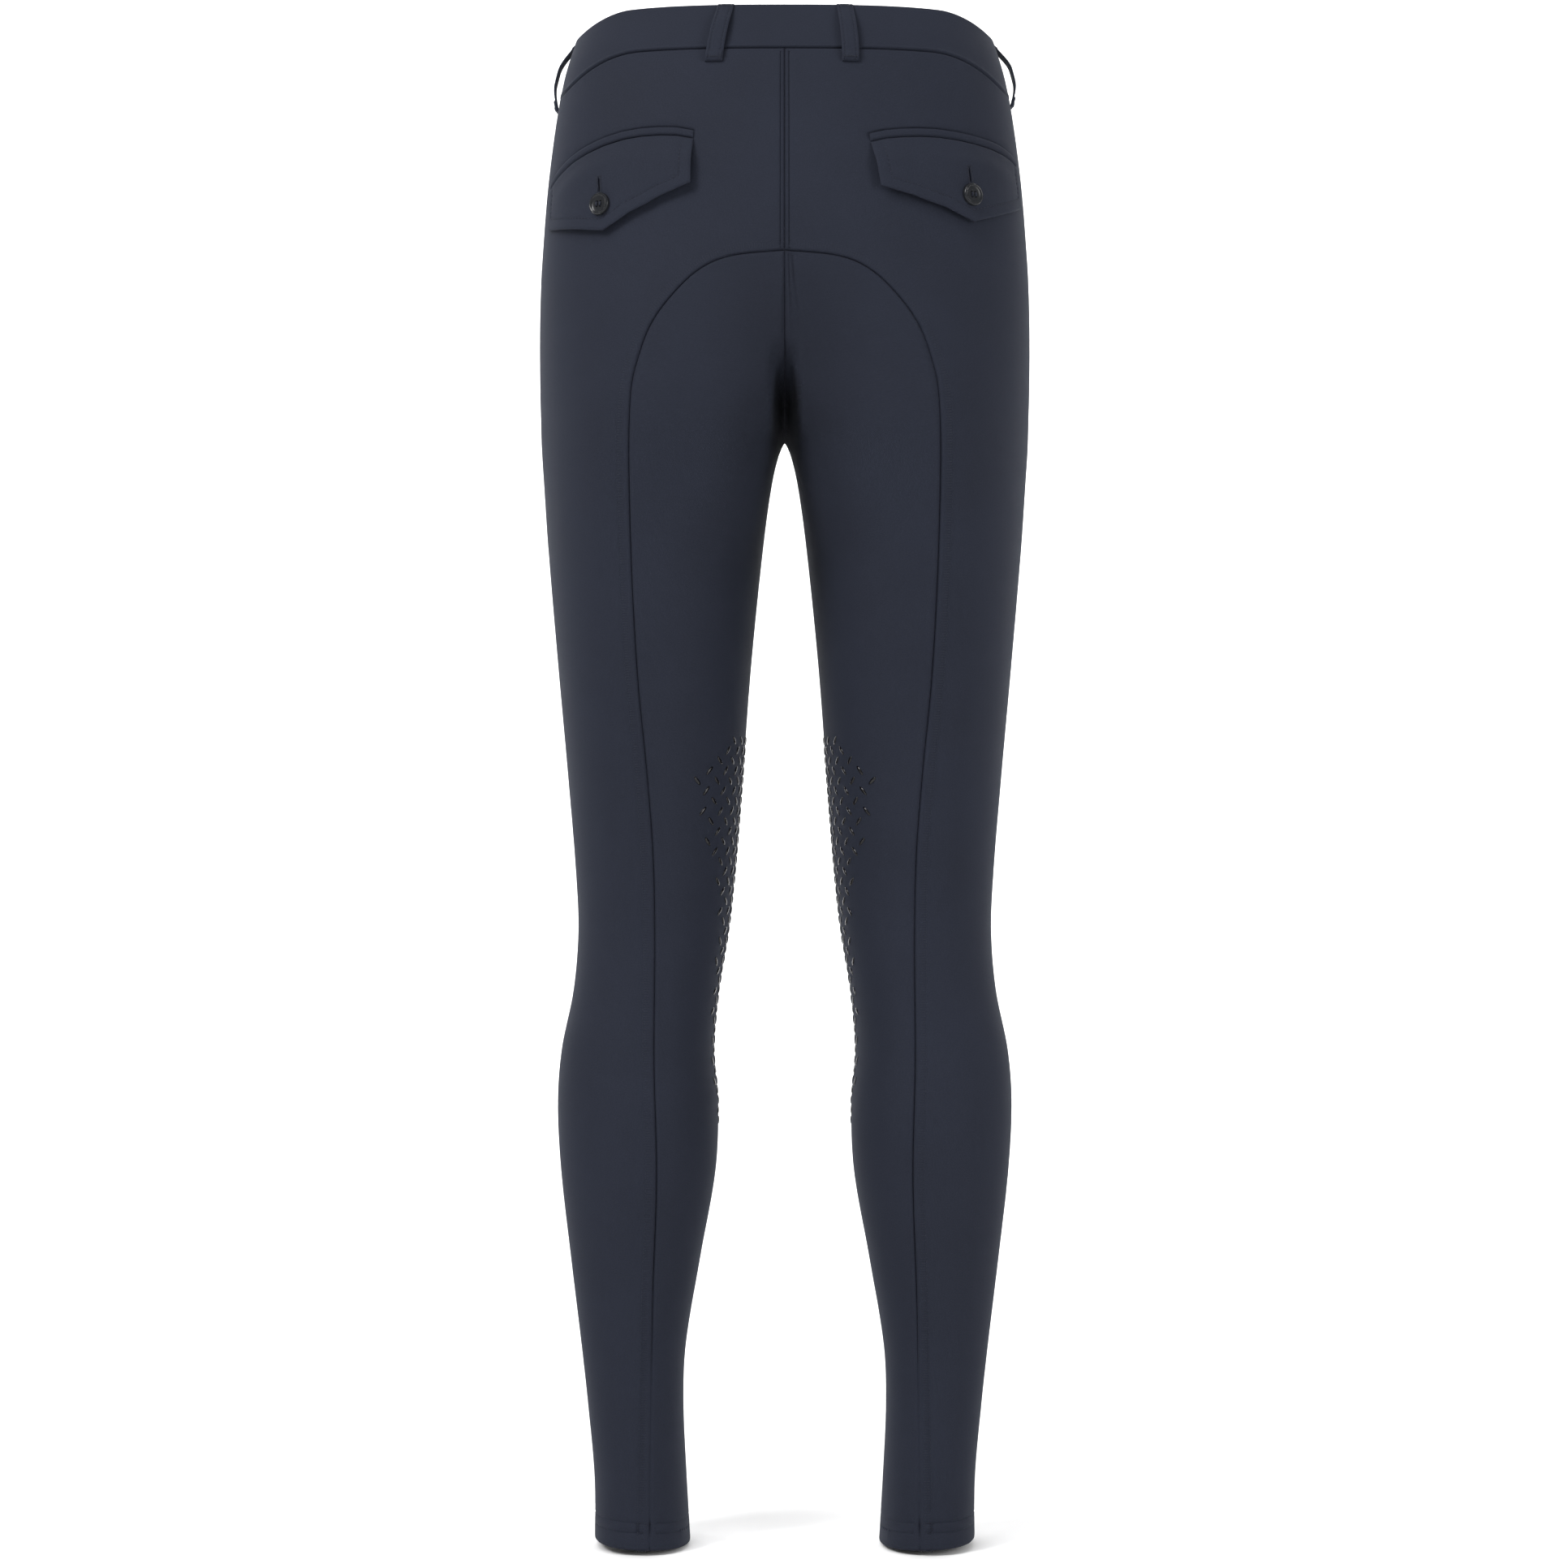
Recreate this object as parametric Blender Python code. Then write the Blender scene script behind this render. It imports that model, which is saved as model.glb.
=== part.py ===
"""Riding breeches, standing as worn with no wearer in them: Blender 4.5, metres, +Z up.

The wearer faces +Y, so the seat is on the -Y side and the wearer's right leg is on the +X side.
The origin is the middle of the waist opening, level with the top edge of the waistband at the hips.

One side's cloth is one smooth skin, worked out from the sections in SECTIONS. A point of the skin is
named by an angle round the leg and a height: 0 at the side seam, a quarter turn at the back, half a
turn on the inside of the leg, three quarters at the front. The panels are cut from that skin along
the seams, laid flat in pattern coordinates, and given the cloth's thickness.
"""

import math
from collections import namedtuple
from functools import lru_cache

import bpy
from mathutils import Matrix, Vector
from mathutils.geometry import delaunay_2d_cdt

MM = 0.001
QUARTER, HALF, TURN = math.pi / 2, math.pi, 2 * math.pi

# Driving sizes, in metres
CLOTH = 1.2 * MM  # stretch cloth of a panel
HEM_CLOTH = 2.2 * MM  # the same cloth where it is turned up
BAND_CLOTH = 2.4 * MM  # waistband: two layers and a stiffening
LOOP_CLOTH = 1.3 * MM  # belt loop: folded strip
FLAP_CLOTH = 1.8 * MM  # pocket flap: two layers
WELT_CLOTH = 1.4 * MM
SEAM_GAP = 0.3 * MM
TOP_BACK_RISE = 10.5 * MM  # the top edge stands this much higher at the back than at the hips
TOP_FRONT_DROP = 16 * MM  # and this much lower at the front
SEAM_SIDE = -40.5 * MM  # height of the seam under the waistband at the hips
SEAM_BACK_RISE = 19 * MM
SEAM_FRONT_DROP = 14 * MM
HEM = -1011 * MM
HEM_BACK_DROP = 2 * MM
HEM_TILT = 1.5 * MM  # the outer side of the hem is this much higher, and the inner side lower
HEM_TURN_UP = 20 * MM
CROTCH = -271 * MM

# How finely the cloth is cut: the step along a section and the step between sections
STEP = 13.5 * MM
ROW = 27 * MM
STRETCH = ROW / STEP

# Outer surface of one side, in millimetres. The section at each height is an oval, widest at
# "side", that goes as far across as "outer". Its back half goes back to "back" and across to
# "back_inner", its front half to "front" and "front_inner". Above the crotch the ovals of both
# sides run into each other and end where they meet, so their inner reach is past the middle.
# The squares say how boxy the halves are, 2 being an ellipse.
Section = namedtuple(
    "Section",
    "height side outer back back_inner back_square front front_inner front_square",
)
SECTIONS = [
    Section(12, 6, 137.2, -85, -137.2, 2.7, 91, -137.2, 2.5),
    Section(-30, 4, 149.6, -108, -149.6, 2.7, 97, -149.6, 2.6),
    Section(-90, 1, 158.5, -125, -158.5, 2.7, 102, -158.5, 2.8),
    Section(-150, 0, 163.4, -134, -163.4, 2.7, 105, -163.4, 2.9),
    Section(-180, 0, 164.7, -136.5, -144, 2.65, 105, -158, 2.8),
    Section(-210, -1, 165.1, -136, -96, 2.5, 104.5, -128, 2.5),
    Section(-240, -2, 164.9, -132.5, -40, 2.3, 103, -62, 2.3),
    Section(-256, -3, 164.5, -130, -15, 2.2, 101.8, -24, 2.2),
    Section(-271, -4, 164.1, -127, 0.15, 2.15, 100.5, 0.15, 2.15),
    Section(-280, -4, 163.7, -125.2, 4.3, 2.15, 99.8, 4.3, 2.15),
    Section(-300, -6, 162.3, -121, 8.8, 2.15, 98, 8.8, 2.15),
    Section(-340, -8, 159.6, -112, 14.3, 2.15, 93.5, 14.3, 2.15),
    Section(-420, -6, 153.0, -96.5, 22.5, 2.2, 85, 22.5, 2.2),
    Section(-500, -4, 146.0, -82, 28.6, 2.2, 74, 28.6, 2.2),
    Section(-560, -3, 141.2, -71, 33.5, 2.2, 66, 33.5, 2.2),
    Section(-600, -3, 139.6, -66, 37.9, 2.2, 61, 37.9, 2.2),
    Section(-640, -6, 142.7, -66, 44.4, 2.2, 54, 44.4, 2.2),
    Section(-680, -12, 150.4, -72, 47.6, 2.2, 48, 47.6, 2.2),
    Section(-715, -16, 152.7, -76, 44.8, 2.2, 43, 44.8, 2.2),
    Section(-760, -17, 150.5, -73, 46.4, 2.2, 38, 46.4, 2.2),
    Section(-820, -15, 143.9, -63, 56.9, 2.2, 32, 56.9, 2.2),
    Section(-880, -11, 136.9, -53, 66.8, 2.2, 30, 66.8, 2.2),
    Section(-920, -8, 132.7, -49, 68.3, 2.2, 33, 68.3, 2.2),
    Section(-970, -6, 128.4, -50, 66.2, 2.2, 38, 66.2, 2.2),
    Section(-1014, -6, 128.2, -53, 63.7, 2.2, 41, 63.7, 2.2),
]

# Seams that curve across a leg, in millimetres: how far from the middle of the body, at what height
SeamPoint = namedtuple("SeamPoint", "across height")
SEAT_SEAM = [
    SeamPoint(0.15, -157.7),
    SeamPoint(35, -161.4),
    SeamPoint(56, -170.5),
    SeamPoint(74, -187.5),
    SeamPoint(87, -205.7),
    SeamPoint(95, -226.6),
    SeamPoint(99.5, -247),
    SeamPoint(101.5, -283),
    SeamPoint(102.3, -334),
    SeamPoint(101, -386),
    SeamPoint(97.3, -439),
    SeamPoint(92.3, -492),
    SeamPoint(87.8, -546),
    SeamPoint(85.8, -600),
    SeamPoint(86, -680),
    SeamPoint(85.5, -760),
    SeamPoint(86, -842),
    SeamPoint(86.4, -924),
    SeamPoint(88.4, -1014),
]
FRONT_SEAM = [
    SeamPoint(0.15, -222),
    SeamPoint(9, -244),
    SeamPoint(20, -280),
    SeamPoint(33, -340),
    SeamPoint(46, -420),
    SeamPoint(56, -500),
    SeamPoint(65, -580),
    SeamPoint(73, -650),
    SeamPoint(80, -730),
    SeamPoint(86, -820),
    SeamPoint(89, -920),
    SeamPoint(89, -1014),
]

# A pocket's flap and the welt over it, laid flat, in millimetres from the middle of the pocket's
# mouth: the welt's lower edge and the flap's top edge follow the same line. The two pockets are sewn
# on a little differently, each moved and turned by a few degrees.
FlatPoint = namedtuple("FlatPoint", "toward_side up")
MOUTH = [
    FlatPoint(-55.2, -6.6),
    FlatPoint(-45, -3.4),
    FlatPoint(-35, -1.7),
    FlatPoint(-24, -0.5),
    FlatPoint(-13, -0.2),
    FlatPoint(0, -1.1),
    FlatPoint(12, -2.8),
    FlatPoint(23, -4.7),
    FlatPoint(35, -7.6),
    FlatPoint(46, -10.8),
    FlatPoint(54.5, -13.6),
]
FLAP_LOWER = [
    FlatPoint(55.5, -40.7),
    FlatPoint(41, -45.1),
    FlatPoint(27, -49.2),
    FlatPoint(12.5, -53.9),
    FlatPoint(2.3, -56.9),
    FlatPoint(-5.5, -53.4),
    FlatPoint(-14, -49),
    FlatPoint(-24, -45.6),
    FlatPoint(-33, -42),
    FlatPoint(-42.5, -39.4),
    FlatPoint(-52.3, -36.7),
]
WELT_HEIGHT = 5.4
WELT_GAP = 0.3
FLAP_BUTTON = FlatPoint(2.1, -39.8)

# Arch is how much higher the middle of the mouth is than in the table
Pocket = namedtuple("Pocket", "toward_side up turn arch")
POCKETS = {"left": Pocket(10.5, -86, -8.9, 1.8), "right": Pocket(6.3, -79.4, 0.4, -1.8)}
ARCH_MIDDLE, ARCH_REACH = -8, 47

# Belt loops, in millimetres: how far from the middle of the body their top and bottom ends are, how
# low the lower end is, how far they stand off the band, and which half of the body they are on
Loop = namedtuple("Loop", "top_across bottom_across bottom_height bulge behind")
ON_SIDE_SEAM = 999
LOOPS = {
    "back_left": Loop(40.5, 46.2, -31.5, 1.8, True),
    "back_right": Loop(41.3, 42.7, -31.5, 1.8, True),
    "side_left": Loop(ON_SIDE_SEAM, ON_SIDE_SEAM, -46, 5.4, True),
    "side_right": Loop(ON_SIDE_SEAM, ON_SIDE_SEAM, -43, 6.2, True),
    "front_left": Loop(76, 77, -63.5, 1.8, False),
    "front_right": Loop(76, 77, -63.5, 1.8, False),
}
LOOP_WIDTH = 11.5 * MM
LOOP_ROWS = 14

# The band's left end laps over its right end at the front, under which the right end steps in
LAP_OVER = 12 * MM
LAP_UNDER = 32 * MM
LAP_STEP = (20 * MM, 45 * MM)
WAIST_STEPS = 16  # points along a quarter of the waist, shared by the band and the panels

# A button's rings, in millimetres, from its edge inwards: how wide, and how high over its back
ButtonRing = namedtuple("ButtonRing", "radius height")
BUTTON_RINGS = [ButtonRing(7.5, 1.6), ButtonRing(6.7, 2.6), ButtonRing(5.5, 1.9), ButtonRing(3.4, 1.8)]
THREAD_HOLE = 0.8 * MM
THREAD_HOLE_OUT = 1.9 * MM  # from the button's middle

CLOTH_COLOUR = (0.030, 0.034, 0.047)
BUTTON_COLOUR = (0.035, 0.035, 0.038)


# ---- The skin: a point for each angle and height ----


def between(rows, column, height):
    """A column of a table that is ordered downwards, read at a height in metres by a smooth curve."""
    h = height / MM
    last = len(rows) - 1
    i = next((k for k in range(last) if rows[k + 1].height <= h), last - 1)
    above, below = rows[i], rows[i + 1]

    def slope(k):
        a, b = rows[max(k - 1, 0)], rows[min(k + 1, last)]
        return (getattr(b, column) - getattr(a, column)) / (b.height - a.height)

    span = below.height - above.height
    t = (h - above.height) / span
    start, end = getattr(above, column), getattr(below, column)
    return (
        start * (2 * t**3 - 3 * t**2 + 1)
        + end * (3 * t**2 - 2 * t**3)
        + span * slope(i) * (t**3 - 2 * t**2 + t)
        + span * slope(i + 1) * (t**3 - t**2)
    )


def eased(t):
    """0 to 1, with level ends."""
    t = min(max(t, 0.0), 1.0)
    return t * t * (3 - 2 * t)


@lru_cache(maxsize=None)
def half_oval(height, half):
    """One half of the section at a height: centre across, half width, side, depth and squareness."""
    outer = between(SECTIONS, "outer", height) * MM
    inner = between(SECTIONS, half + "_inner", height) * MM
    side = between(SECTIONS, "side", height) * MM
    depth = abs(between(SECTIONS, half, height) * MM - side)
    square = between(SECTIONS, half + "_square", height)
    return (outer + inner) / 2, (outer - inner) / 2, side, depth, square


def skin(angle, height):
    """The point of the right side's outer surface at an angle round the leg and a height."""
    c, s = math.cos(angle), math.sin(angle)
    centre, width, side, depth, square = half_oval(height, "back" if s > 0 else "front")
    radius = (abs(c / width) ** square + abs(s / depth) ** square) ** (-1 / square)
    return Vector((centre + radius * c, side - radius * s, height))


def outward(angle, height):
    """The direction out of the cloth at a point of the skin."""
    turn, rise = 0.02, 1.5 * MM
    round_it = skin(angle + turn, height) - skin(angle - turn, height)
    up = skin(angle, height + rise) - skin(angle, height - rise)
    return up.cross(round_it).normalized()


def angle_at(across, height, behind=True):
    """The angle at which the skin is this far from the middle of the body, on its back or front half,
    and 0, the side seam, for more than the body's half width."""
    near, far = 0.0, HALF
    for _ in range(40):
        middle = (near + far) / 2
        if skin(middle if behind else -middle, height).x > across:
            near = middle
        else:
            far = middle
    return near if behind else -near


@lru_cache(maxsize=None)
def girth(height):
    """Metres round the section for each radian."""
    _, width, _, back, _ = half_oval(height, "back")
    _, front_width, _, front, _ = half_oval(height, "front")
    return (width + front_width + back + front) / 4


# ---- Pattern coordinates: a panel is laid flat about its own middle angle ----


class Pattern:
    """Flat coordinates of one panel: (metres round from its middle angle, height)."""

    def __init__(self, middle):
        self.middle = middle

    def flat(self, angle, height):
        return Vector(((angle - self.middle) * girth(height), height))

    def angle(self, point):
        return self.middle + point.x / girth(point.y)


def top_line(angle):
    """Height of the garment's top edge, at an angle round the body."""
    s = math.sin(angle)
    return TOP_BACK_RISE * eased((s - 0.24) / 0.35) - TOP_FRONT_DROP * eased(-s)


def waist_seam(angle):
    """Height of the seam under the waistband, at an angle round the body."""
    s = math.sin(angle)
    return SEAM_SIDE + SEAM_BACK_RISE * eased((s - 0.28) / 0.42) - SEAM_FRONT_DROP * eased(-s)


def hem_line(angle):
    back = max(0.0, math.sin(angle))
    return HEM + HEM_TILT * math.cos(angle) - HEM_BACK_DROP * back**2


def curve_through(table, steps):
    """Points at even distances along a smooth curve through a seam's table, in metres."""
    points = [Vector((p.across, p.height)) * MM for p in table]
    ends = [2 * points[0] - points[1], *points, 2 * points[-1] - points[-2]]
    fine = []
    for before, start, end, after in zip(ends, ends[1:], ends[2:], ends[3:]):
        for k in range(8):
            t = k / 8
            fine.append(
                0.5
                * (
                    2 * start
                    + (end - before) * t
                    + (2 * before - 5 * start + 4 * end - after) * t**2
                    + (3 * start - before - 3 * end + after) * t**3
                )
            )
    fine.append(points[-1])
    return resampled(fine, steps)


def resampled(line, steps):
    """A polyline's points again, at distances that follow steps(height) metres from one to the next."""
    out, left = [line[0]], steps(line[0].y)
    for a, b in zip(line, line[1:]):
        while (b - a).length > left:
            a = a + (b - a).normalized() * left
            out.append(a)
            left = steps(a.y)
        left -= (b - a).length
    if (out[-1] - line[-1]).length < 0.5 * steps(line[-1].y):
        out.pop()
    return [*out, line[-1]]


def seam_step(height):
    """Points stand closer where a seam curves, above the thigh."""
    return ROW if height < CROTCH - 2 * ROW else STEP


def moved_aside(line, distance):
    """A polyline moved to its left by a distance."""
    out = []
    for k, point in enumerate(line):
        along = line[min(k + 1, len(line) - 1)] - line[max(k - 1, 0)]
        out.append(point + Vector((-along.y, along.x)).normalized() * distance)
    return out


def seam_in(pattern, table, behind, shift):
    """A curved seam in a panel's pattern, moved aside by half the seam gap, from its top to the hem."""
    line = []
    for point in curve_through(table, seam_step):
        angle = angle_at(point.x, point.y, behind)
        if not behind and pattern.middle > QUARTER:
            angle += TURN
        if point.y > hem_line(angle) + STEP / 2:
            line.append(pattern.flat(angle, point.y))
    angle = angle_at(table[-1].across * MM, HEM, behind)
    angle += TURN if not behind and pattern.middle > QUARTER else 0
    line.append(pattern.flat(angle, hem_line(angle)))
    moved = moved_aside(line, shift)
    along = (line[1] - line[0]).normalized()
    higher = centre_point(pattern, line[0].y + 1 * MM, behind) - line[0]
    rise = shift / higher.dot(Vector((-along.y, along.x))) * 1 * MM
    moved[0] = centre_point(pattern, line[0].y + rise, behind)
    return moved


def centre_point(pattern, height, behind):
    """The flat point at a height on the edge at the middle of the body."""
    angle = angle_at(SEAM_GAP / 2, height, behind)
    if not behind and pattern.middle > QUARTER:
        angle += TURN
    return pattern.flat(angle, height)


def centre_edge(pattern, top, bottom, behind):
    """The edge on the middle of the body, from one height down to another."""
    steps = max(2, round((top - bottom) / STEP))
    heights = [top + (bottom - top) * k / steps for k in range(steps + 1)]
    return [centre_point(pattern, height, behind) for height in heights]


def fork_edge(pattern, back_top, front_top):
    """The edge under the crotch: down the middle of the back, round, and up the middle of the front.
    Its points crowd towards the crotch, where the edge runs level."""
    line = []
    for top, behind in ((back_top, True), (front_top, False)):
        steps = round(1.6 * (top - CROTCH) / STEP)
        part = []
        for k in range(steps + 1):
            height = CROTCH + (top - CROTCH) * (k / steps) ** 2
            part.append(centre_point(pattern, height, behind))
        line += part[::-1] if behind else part[1:]
    return line


def level_edge(pattern, from_angle, to_angle, line_height, shift=0.0, steps=None):
    """An edge that runs round the body at line_height(angle), such as the waist seam or the hem."""
    size = abs(to_angle - from_angle) * girth(line_height(from_angle))
    steps = steps or max(2, round(size / STEP))
    line = []
    for k in range(steps + 1):
        angle = from_angle + (to_angle - from_angle) * k / steps
        line.append(pattern.flat(angle, line_height(angle) + shift))
    return line


def straight_edge(pattern, angle, top, bottom, shift):
    """An edge that runs down the leg at one angle."""
    steps = round((top - bottom) / ROW)
    line = []
    for k in range(steps + 1):
        height = top + (bottom - top) * k / steps
        line.append(pattern.flat(angle, height) + Vector((shift, 0)))
    return line


def closed(*edges):
    """One outline from edges that follow each other, with their shared corners once."""
    outline = []
    for edge in edges:
        for point in edge:
            if not outline or (point - outline[-1]).length > SEAM_GAP:
                outline.append(point)
    while (outline[-1] - outline[0]).length <= SEAM_GAP:
        outline.pop()
    return outline


def inside(outline, point):
    """Whether a flat point lies in an outline."""
    found = False
    for a, b in zip(outline, outline[1:] + outline[:1]):
        if (a.y > point.y) != (b.y > point.y):
            if point.x < a.x + (b.x - a.x) * (point.y - a.y) / (b.y - a.y):
                found = not found
    return found


def distance_to(outline, point):
    """Distance from a flat point to the nearest edge of an outline, with heights drawn together."""
    best = math.inf
    p = Vector((point.x, point.y / STRETCH))
    for a, b in zip(outline, outline[1:] + outline[:1]):
        a, b = Vector((a.x, a.y / STRETCH)), Vector((b.x, b.y / STRETCH))
        t = max(0.0, min(1.0, (p - a).dot(b - a) / max((b - a).length_squared, 1e-12)))
        best = min(best, (p - a - (b - a) * t).length)
    return best


def filled(outline, inlays):
    """Flat points inside an outline, in rows: as many to a row as its width needs."""
    top = max(p.y for p in outline)
    bottom = min(p.y for p in outline)
    rows = round((top - bottom) / ROW)
    points = []
    for row in range(1, rows):
        height = top + (bottom - top) * row / rows
        crossings = sorted(
            a.x + (b.x - a.x) * (height - a.y) / (b.y - a.y)
            for a, b in zip(outline, outline[1:] + outline[:1])
            if (a.y > height) != (b.y > height)
        )
        for left, right in zip(crossings[::2], crossings[1::2]):
            count = round((right - left) / STEP)
            for k in range(1, count):
                points.append(Vector((left + (right - left) * k / count, height)))
    lines = [outline, *inlays]
    return [p for p in points if min(distance_to(line, p) for line in lines) > 0.42 * STEP]


Sheet = namedtuple("Sheet", "pattern points triangles")


def triangulated(loops, fill=()):
    """Triangles between closed loops of flat points and the points inside them."""
    corners, edges = [], []
    for loop in loops:
        first = len(corners)
        corners += loop
        edges += [(first + k, first + (k + 1) % len(loop)) for k in range(len(loop))]
    points, _, faces, *_ = delaunay_2d_cdt([*corners, *fill], edges, [], 1, 1e-7)
    return points, faces


def middle_of(points, face):
    return sum((points[i] for i in face), Vector((0, 0))) / len(face)


def cut(pattern, outline, inlays=()):
    """A panel: its outline and inside filled with triangles, whose edges also follow the inlays."""
    flat = [[Vector((p.x, p.y / STRETCH)) for p in loop] for loop in (outline, *inlays)]
    fill = [Vector((p.x, p.y / STRETCH)) for p in filled(outline, inlays)]
    points, faces = triangulated(flat, fill)
    points = [Vector((p.x, p.y * STRETCH)) for p in points]
    kept = [f for f in faces if inside(outline, middle_of(points, f))]
    return trimmed(Sheet(pattern, points, kept))


def trimmed(sheet):
    """The same sheet without the points that no triangle uses."""
    used = sorted({i for face in sheet.triangles for i in face})
    new = {old: k for k, old in enumerate(used)}
    points = [sheet.points[i] for i in used]
    return Sheet(sheet.pattern, points, [tuple(new[i] for i in f) for f in sheet.triangles])


def part_of(sheet, outline):
    """The part of a sheet that lies inside an outline which its triangles follow."""
    kept = [f for f in sheet.triangles if inside(outline, middle_of(sheet.points, f))]
    return trimmed(Sheet(sheet.pattern, sheet.points, kept))


# ---- Solids ----


def material(name, colour, roughness):
    made = bpy.data.materials.new(name)
    made.use_nodes = True
    shader = made.node_tree.nodes["Principled BSDF"]
    shader.inputs["Base Color"].default_value = (*colour, 1)
    shader.inputs["Roughness"].default_value = roughness
    return made


def mirror(points):
    """The points of the wearer's right side, moved to their left side."""
    return [Vector((-p.x, p.y, p.z)) for p in points]


def solid(name, points, faces, finish):
    """One named object from points and faces, shaded smooth but for its sharp edges."""
    mesh = bpy.data.meshes.new(name)
    mesh.from_pydata(points, [], faces)
    mesh.shade_smooth()
    mesh.set_sharp_from_angle(angle=math.radians(40))
    mesh.materials.append(finish)
    made = bpy.data.objects.new(name, mesh)
    bpy.context.scene.collection.objects.link(made)
    return made


def walled(outer, inner, triangles):
    """Points and faces of a closed wall between two layers of points with the same triangles."""
    count = len(outer)
    edges = {(a, b) for f in triangles for a, b in zip(f, f[1:] + f[:1])}
    rim = [(b, a, a + count, b + count) for a, b in edges if (b, a) not in edges]
    back = [tuple(i + count for i in f[::-1]) for f in triangles]
    return [*outer, *inner], [*triangles, *back, *rim]


def cloth(name, sheet, finish, lift, thickness):
    """A sheet as a wall. Lift is how far its outer face stands off the skin, and thickness(point) is
    how thick it is at a flat point. A name that ends in "left" is the right side's piece mirrored."""
    outer, inner = [], []
    for point in sheet.points:
        angle = sheet.pattern.angle(point)
        on_skin, away = skin(angle, point.y), outward(angle, point.y)
        outer.append(on_skin + away * lift)
        inner.append(on_skin + away * (lift - thickness(point)))
    triangles = [tuple(f[::-1]) for f in sheet.triangles]
    if name.endswith("left"):
        outer, inner = mirror(outer), mirror(inner)
        triangles = [f[::-1] for f in triangles]
    solid(name, *walled(outer, inner, triangles), finish)


def panel_thickness(point):
    """The cloth's thickness, which the turned-up hem doubles on the inside."""
    return CLOTH + (HEM_CLOTH - CLOTH) * eased((HEM + HEM_TURN_UP + ROW / 2 - point.y) / (ROW / 2))


def front_panel():
    pattern = Pattern(-QUARTER / 2)
    half = SEAM_GAP / 2
    side = straight_edge(pattern, 0.0, waist_seam(0) - half, hem_line(0), -half)
    centre = angle_at(half, waist_seam(-QUARTER), False)
    waist = level_edge(pattern, centre, 0.0, waist_seam, -half, WAIST_STEPS)
    seam = seam_in(pattern, FRONT_SEAM, False, half)
    middle = centre_edge(pattern, waist[0].y, seam[0].y, False)
    hem = level_edge(pattern, pattern.angle(seam[-1]), 0.0, hem_line)
    return cut(pattern, closed(side, hem[::-1], seam[::-1], middle[::-1], waist))


def back_panel(inlays=()):
    pattern = Pattern(QUARTER / 2)
    half = SEAM_GAP / 2
    side = straight_edge(pattern, 0.0, waist_seam(0) - half, hem_line(0), half)
    centre = angle_at(half, waist_seam(QUARTER))
    waist = level_edge(pattern, centre, 0.0, waist_seam, -half, WAIST_STEPS)
    seam = seam_in(pattern, SEAT_SEAM, True, -half)
    middle = centre_edge(pattern, waist[0].y, seam[0].y, True)
    hem = level_edge(pattern, pattern.angle(seam[-1]), 0.0, hem_line)
    return cut(pattern, closed(side, hem[::-1], seam[::-1], middle[::-1], waist), inlays)


def seat_and_leg_panel():
    pattern = Pattern(HALF)
    half = SEAM_GAP / 2
    back_seam = seam_in(pattern, SEAT_SEAM, True, half)
    front_seam = seam_in(pattern, FRONT_SEAM, False, -half)
    fork = fork_edge(pattern, back_seam[0].y, front_seam[0].y)
    hem = level_edge(pattern, pattern.angle(back_seam[-1]), pattern.angle(front_seam[-1]), hem_line)
    return cut(pattern, closed(back_seam, hem, front_seam[::-1], fork[::-1]))


def placed(points, pocket):
    """Flat points of a pocket's piece, turned and moved to their place on the back panel."""
    turn = Matrix.Rotation(math.radians(pocket.turn), 2)
    turned = [turn @ Vector(p) + Vector((pocket.toward_side, pocket.up)) for p in points]
    return [Vector((-p.x, p.y)) * MM for p in turned]


def mouth(pocket, above=0.0):
    """The line of a pocket's mouth, or one above it."""
    line = []
    for point in MOUTH:
        out = (point.toward_side - ARCH_MIDDLE) / ARCH_REACH
        arch = pocket.arch * max(0.0, 1 - out**2)
        line.append(FlatPoint(point.toward_side, point.up + arch + above))
    return line


def flap_outline(pocket):
    return placed(mouth(pocket) + FLAP_LOWER, pocket)


def welt_outline(pocket):
    return placed(mouth(pocket, WELT_GAP) + mouth(pocket, WELT_HEIGHT)[::-1], pocket)


def pocket_pieces(side, back, fabric, horn):
    """The flap and the welt, whose faces are the back panel's own faces moved out, and the button."""
    pocket = POCKETS[side]
    flap = part_of(back, flap_outline(pocket))
    welt = part_of(back, welt_outline(pocket))
    flap_top = SEAM_GAP + FLAP_CLOTH
    cloth(f"pocket_flap_{side}", flap, fabric, flap_top, lambda point: FLAP_CLOTH)
    cloth(f"pocket_welt_{side}", welt, fabric, SEAM_GAP + WELT_CLOTH, lambda point: WELT_CLOTH)
    (at,) = placed([FLAP_BUTTON], pocket)
    angle = back.pattern.angle(at)
    away = outward(angle, at.y)
    centre = skin(angle, at.y) + away * (flap_top + SEAM_GAP)
    if side == "left":
        centre, away = mirror([centre, away])
    button(f"pocket_button_{side}", centre, away, horn)


def circle(centre, radius, count):
    turns = [TURN * k / count for k in range(count)]
    return [centre + Vector((math.cos(t), math.sin(t))) * radius for t in turns]


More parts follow.
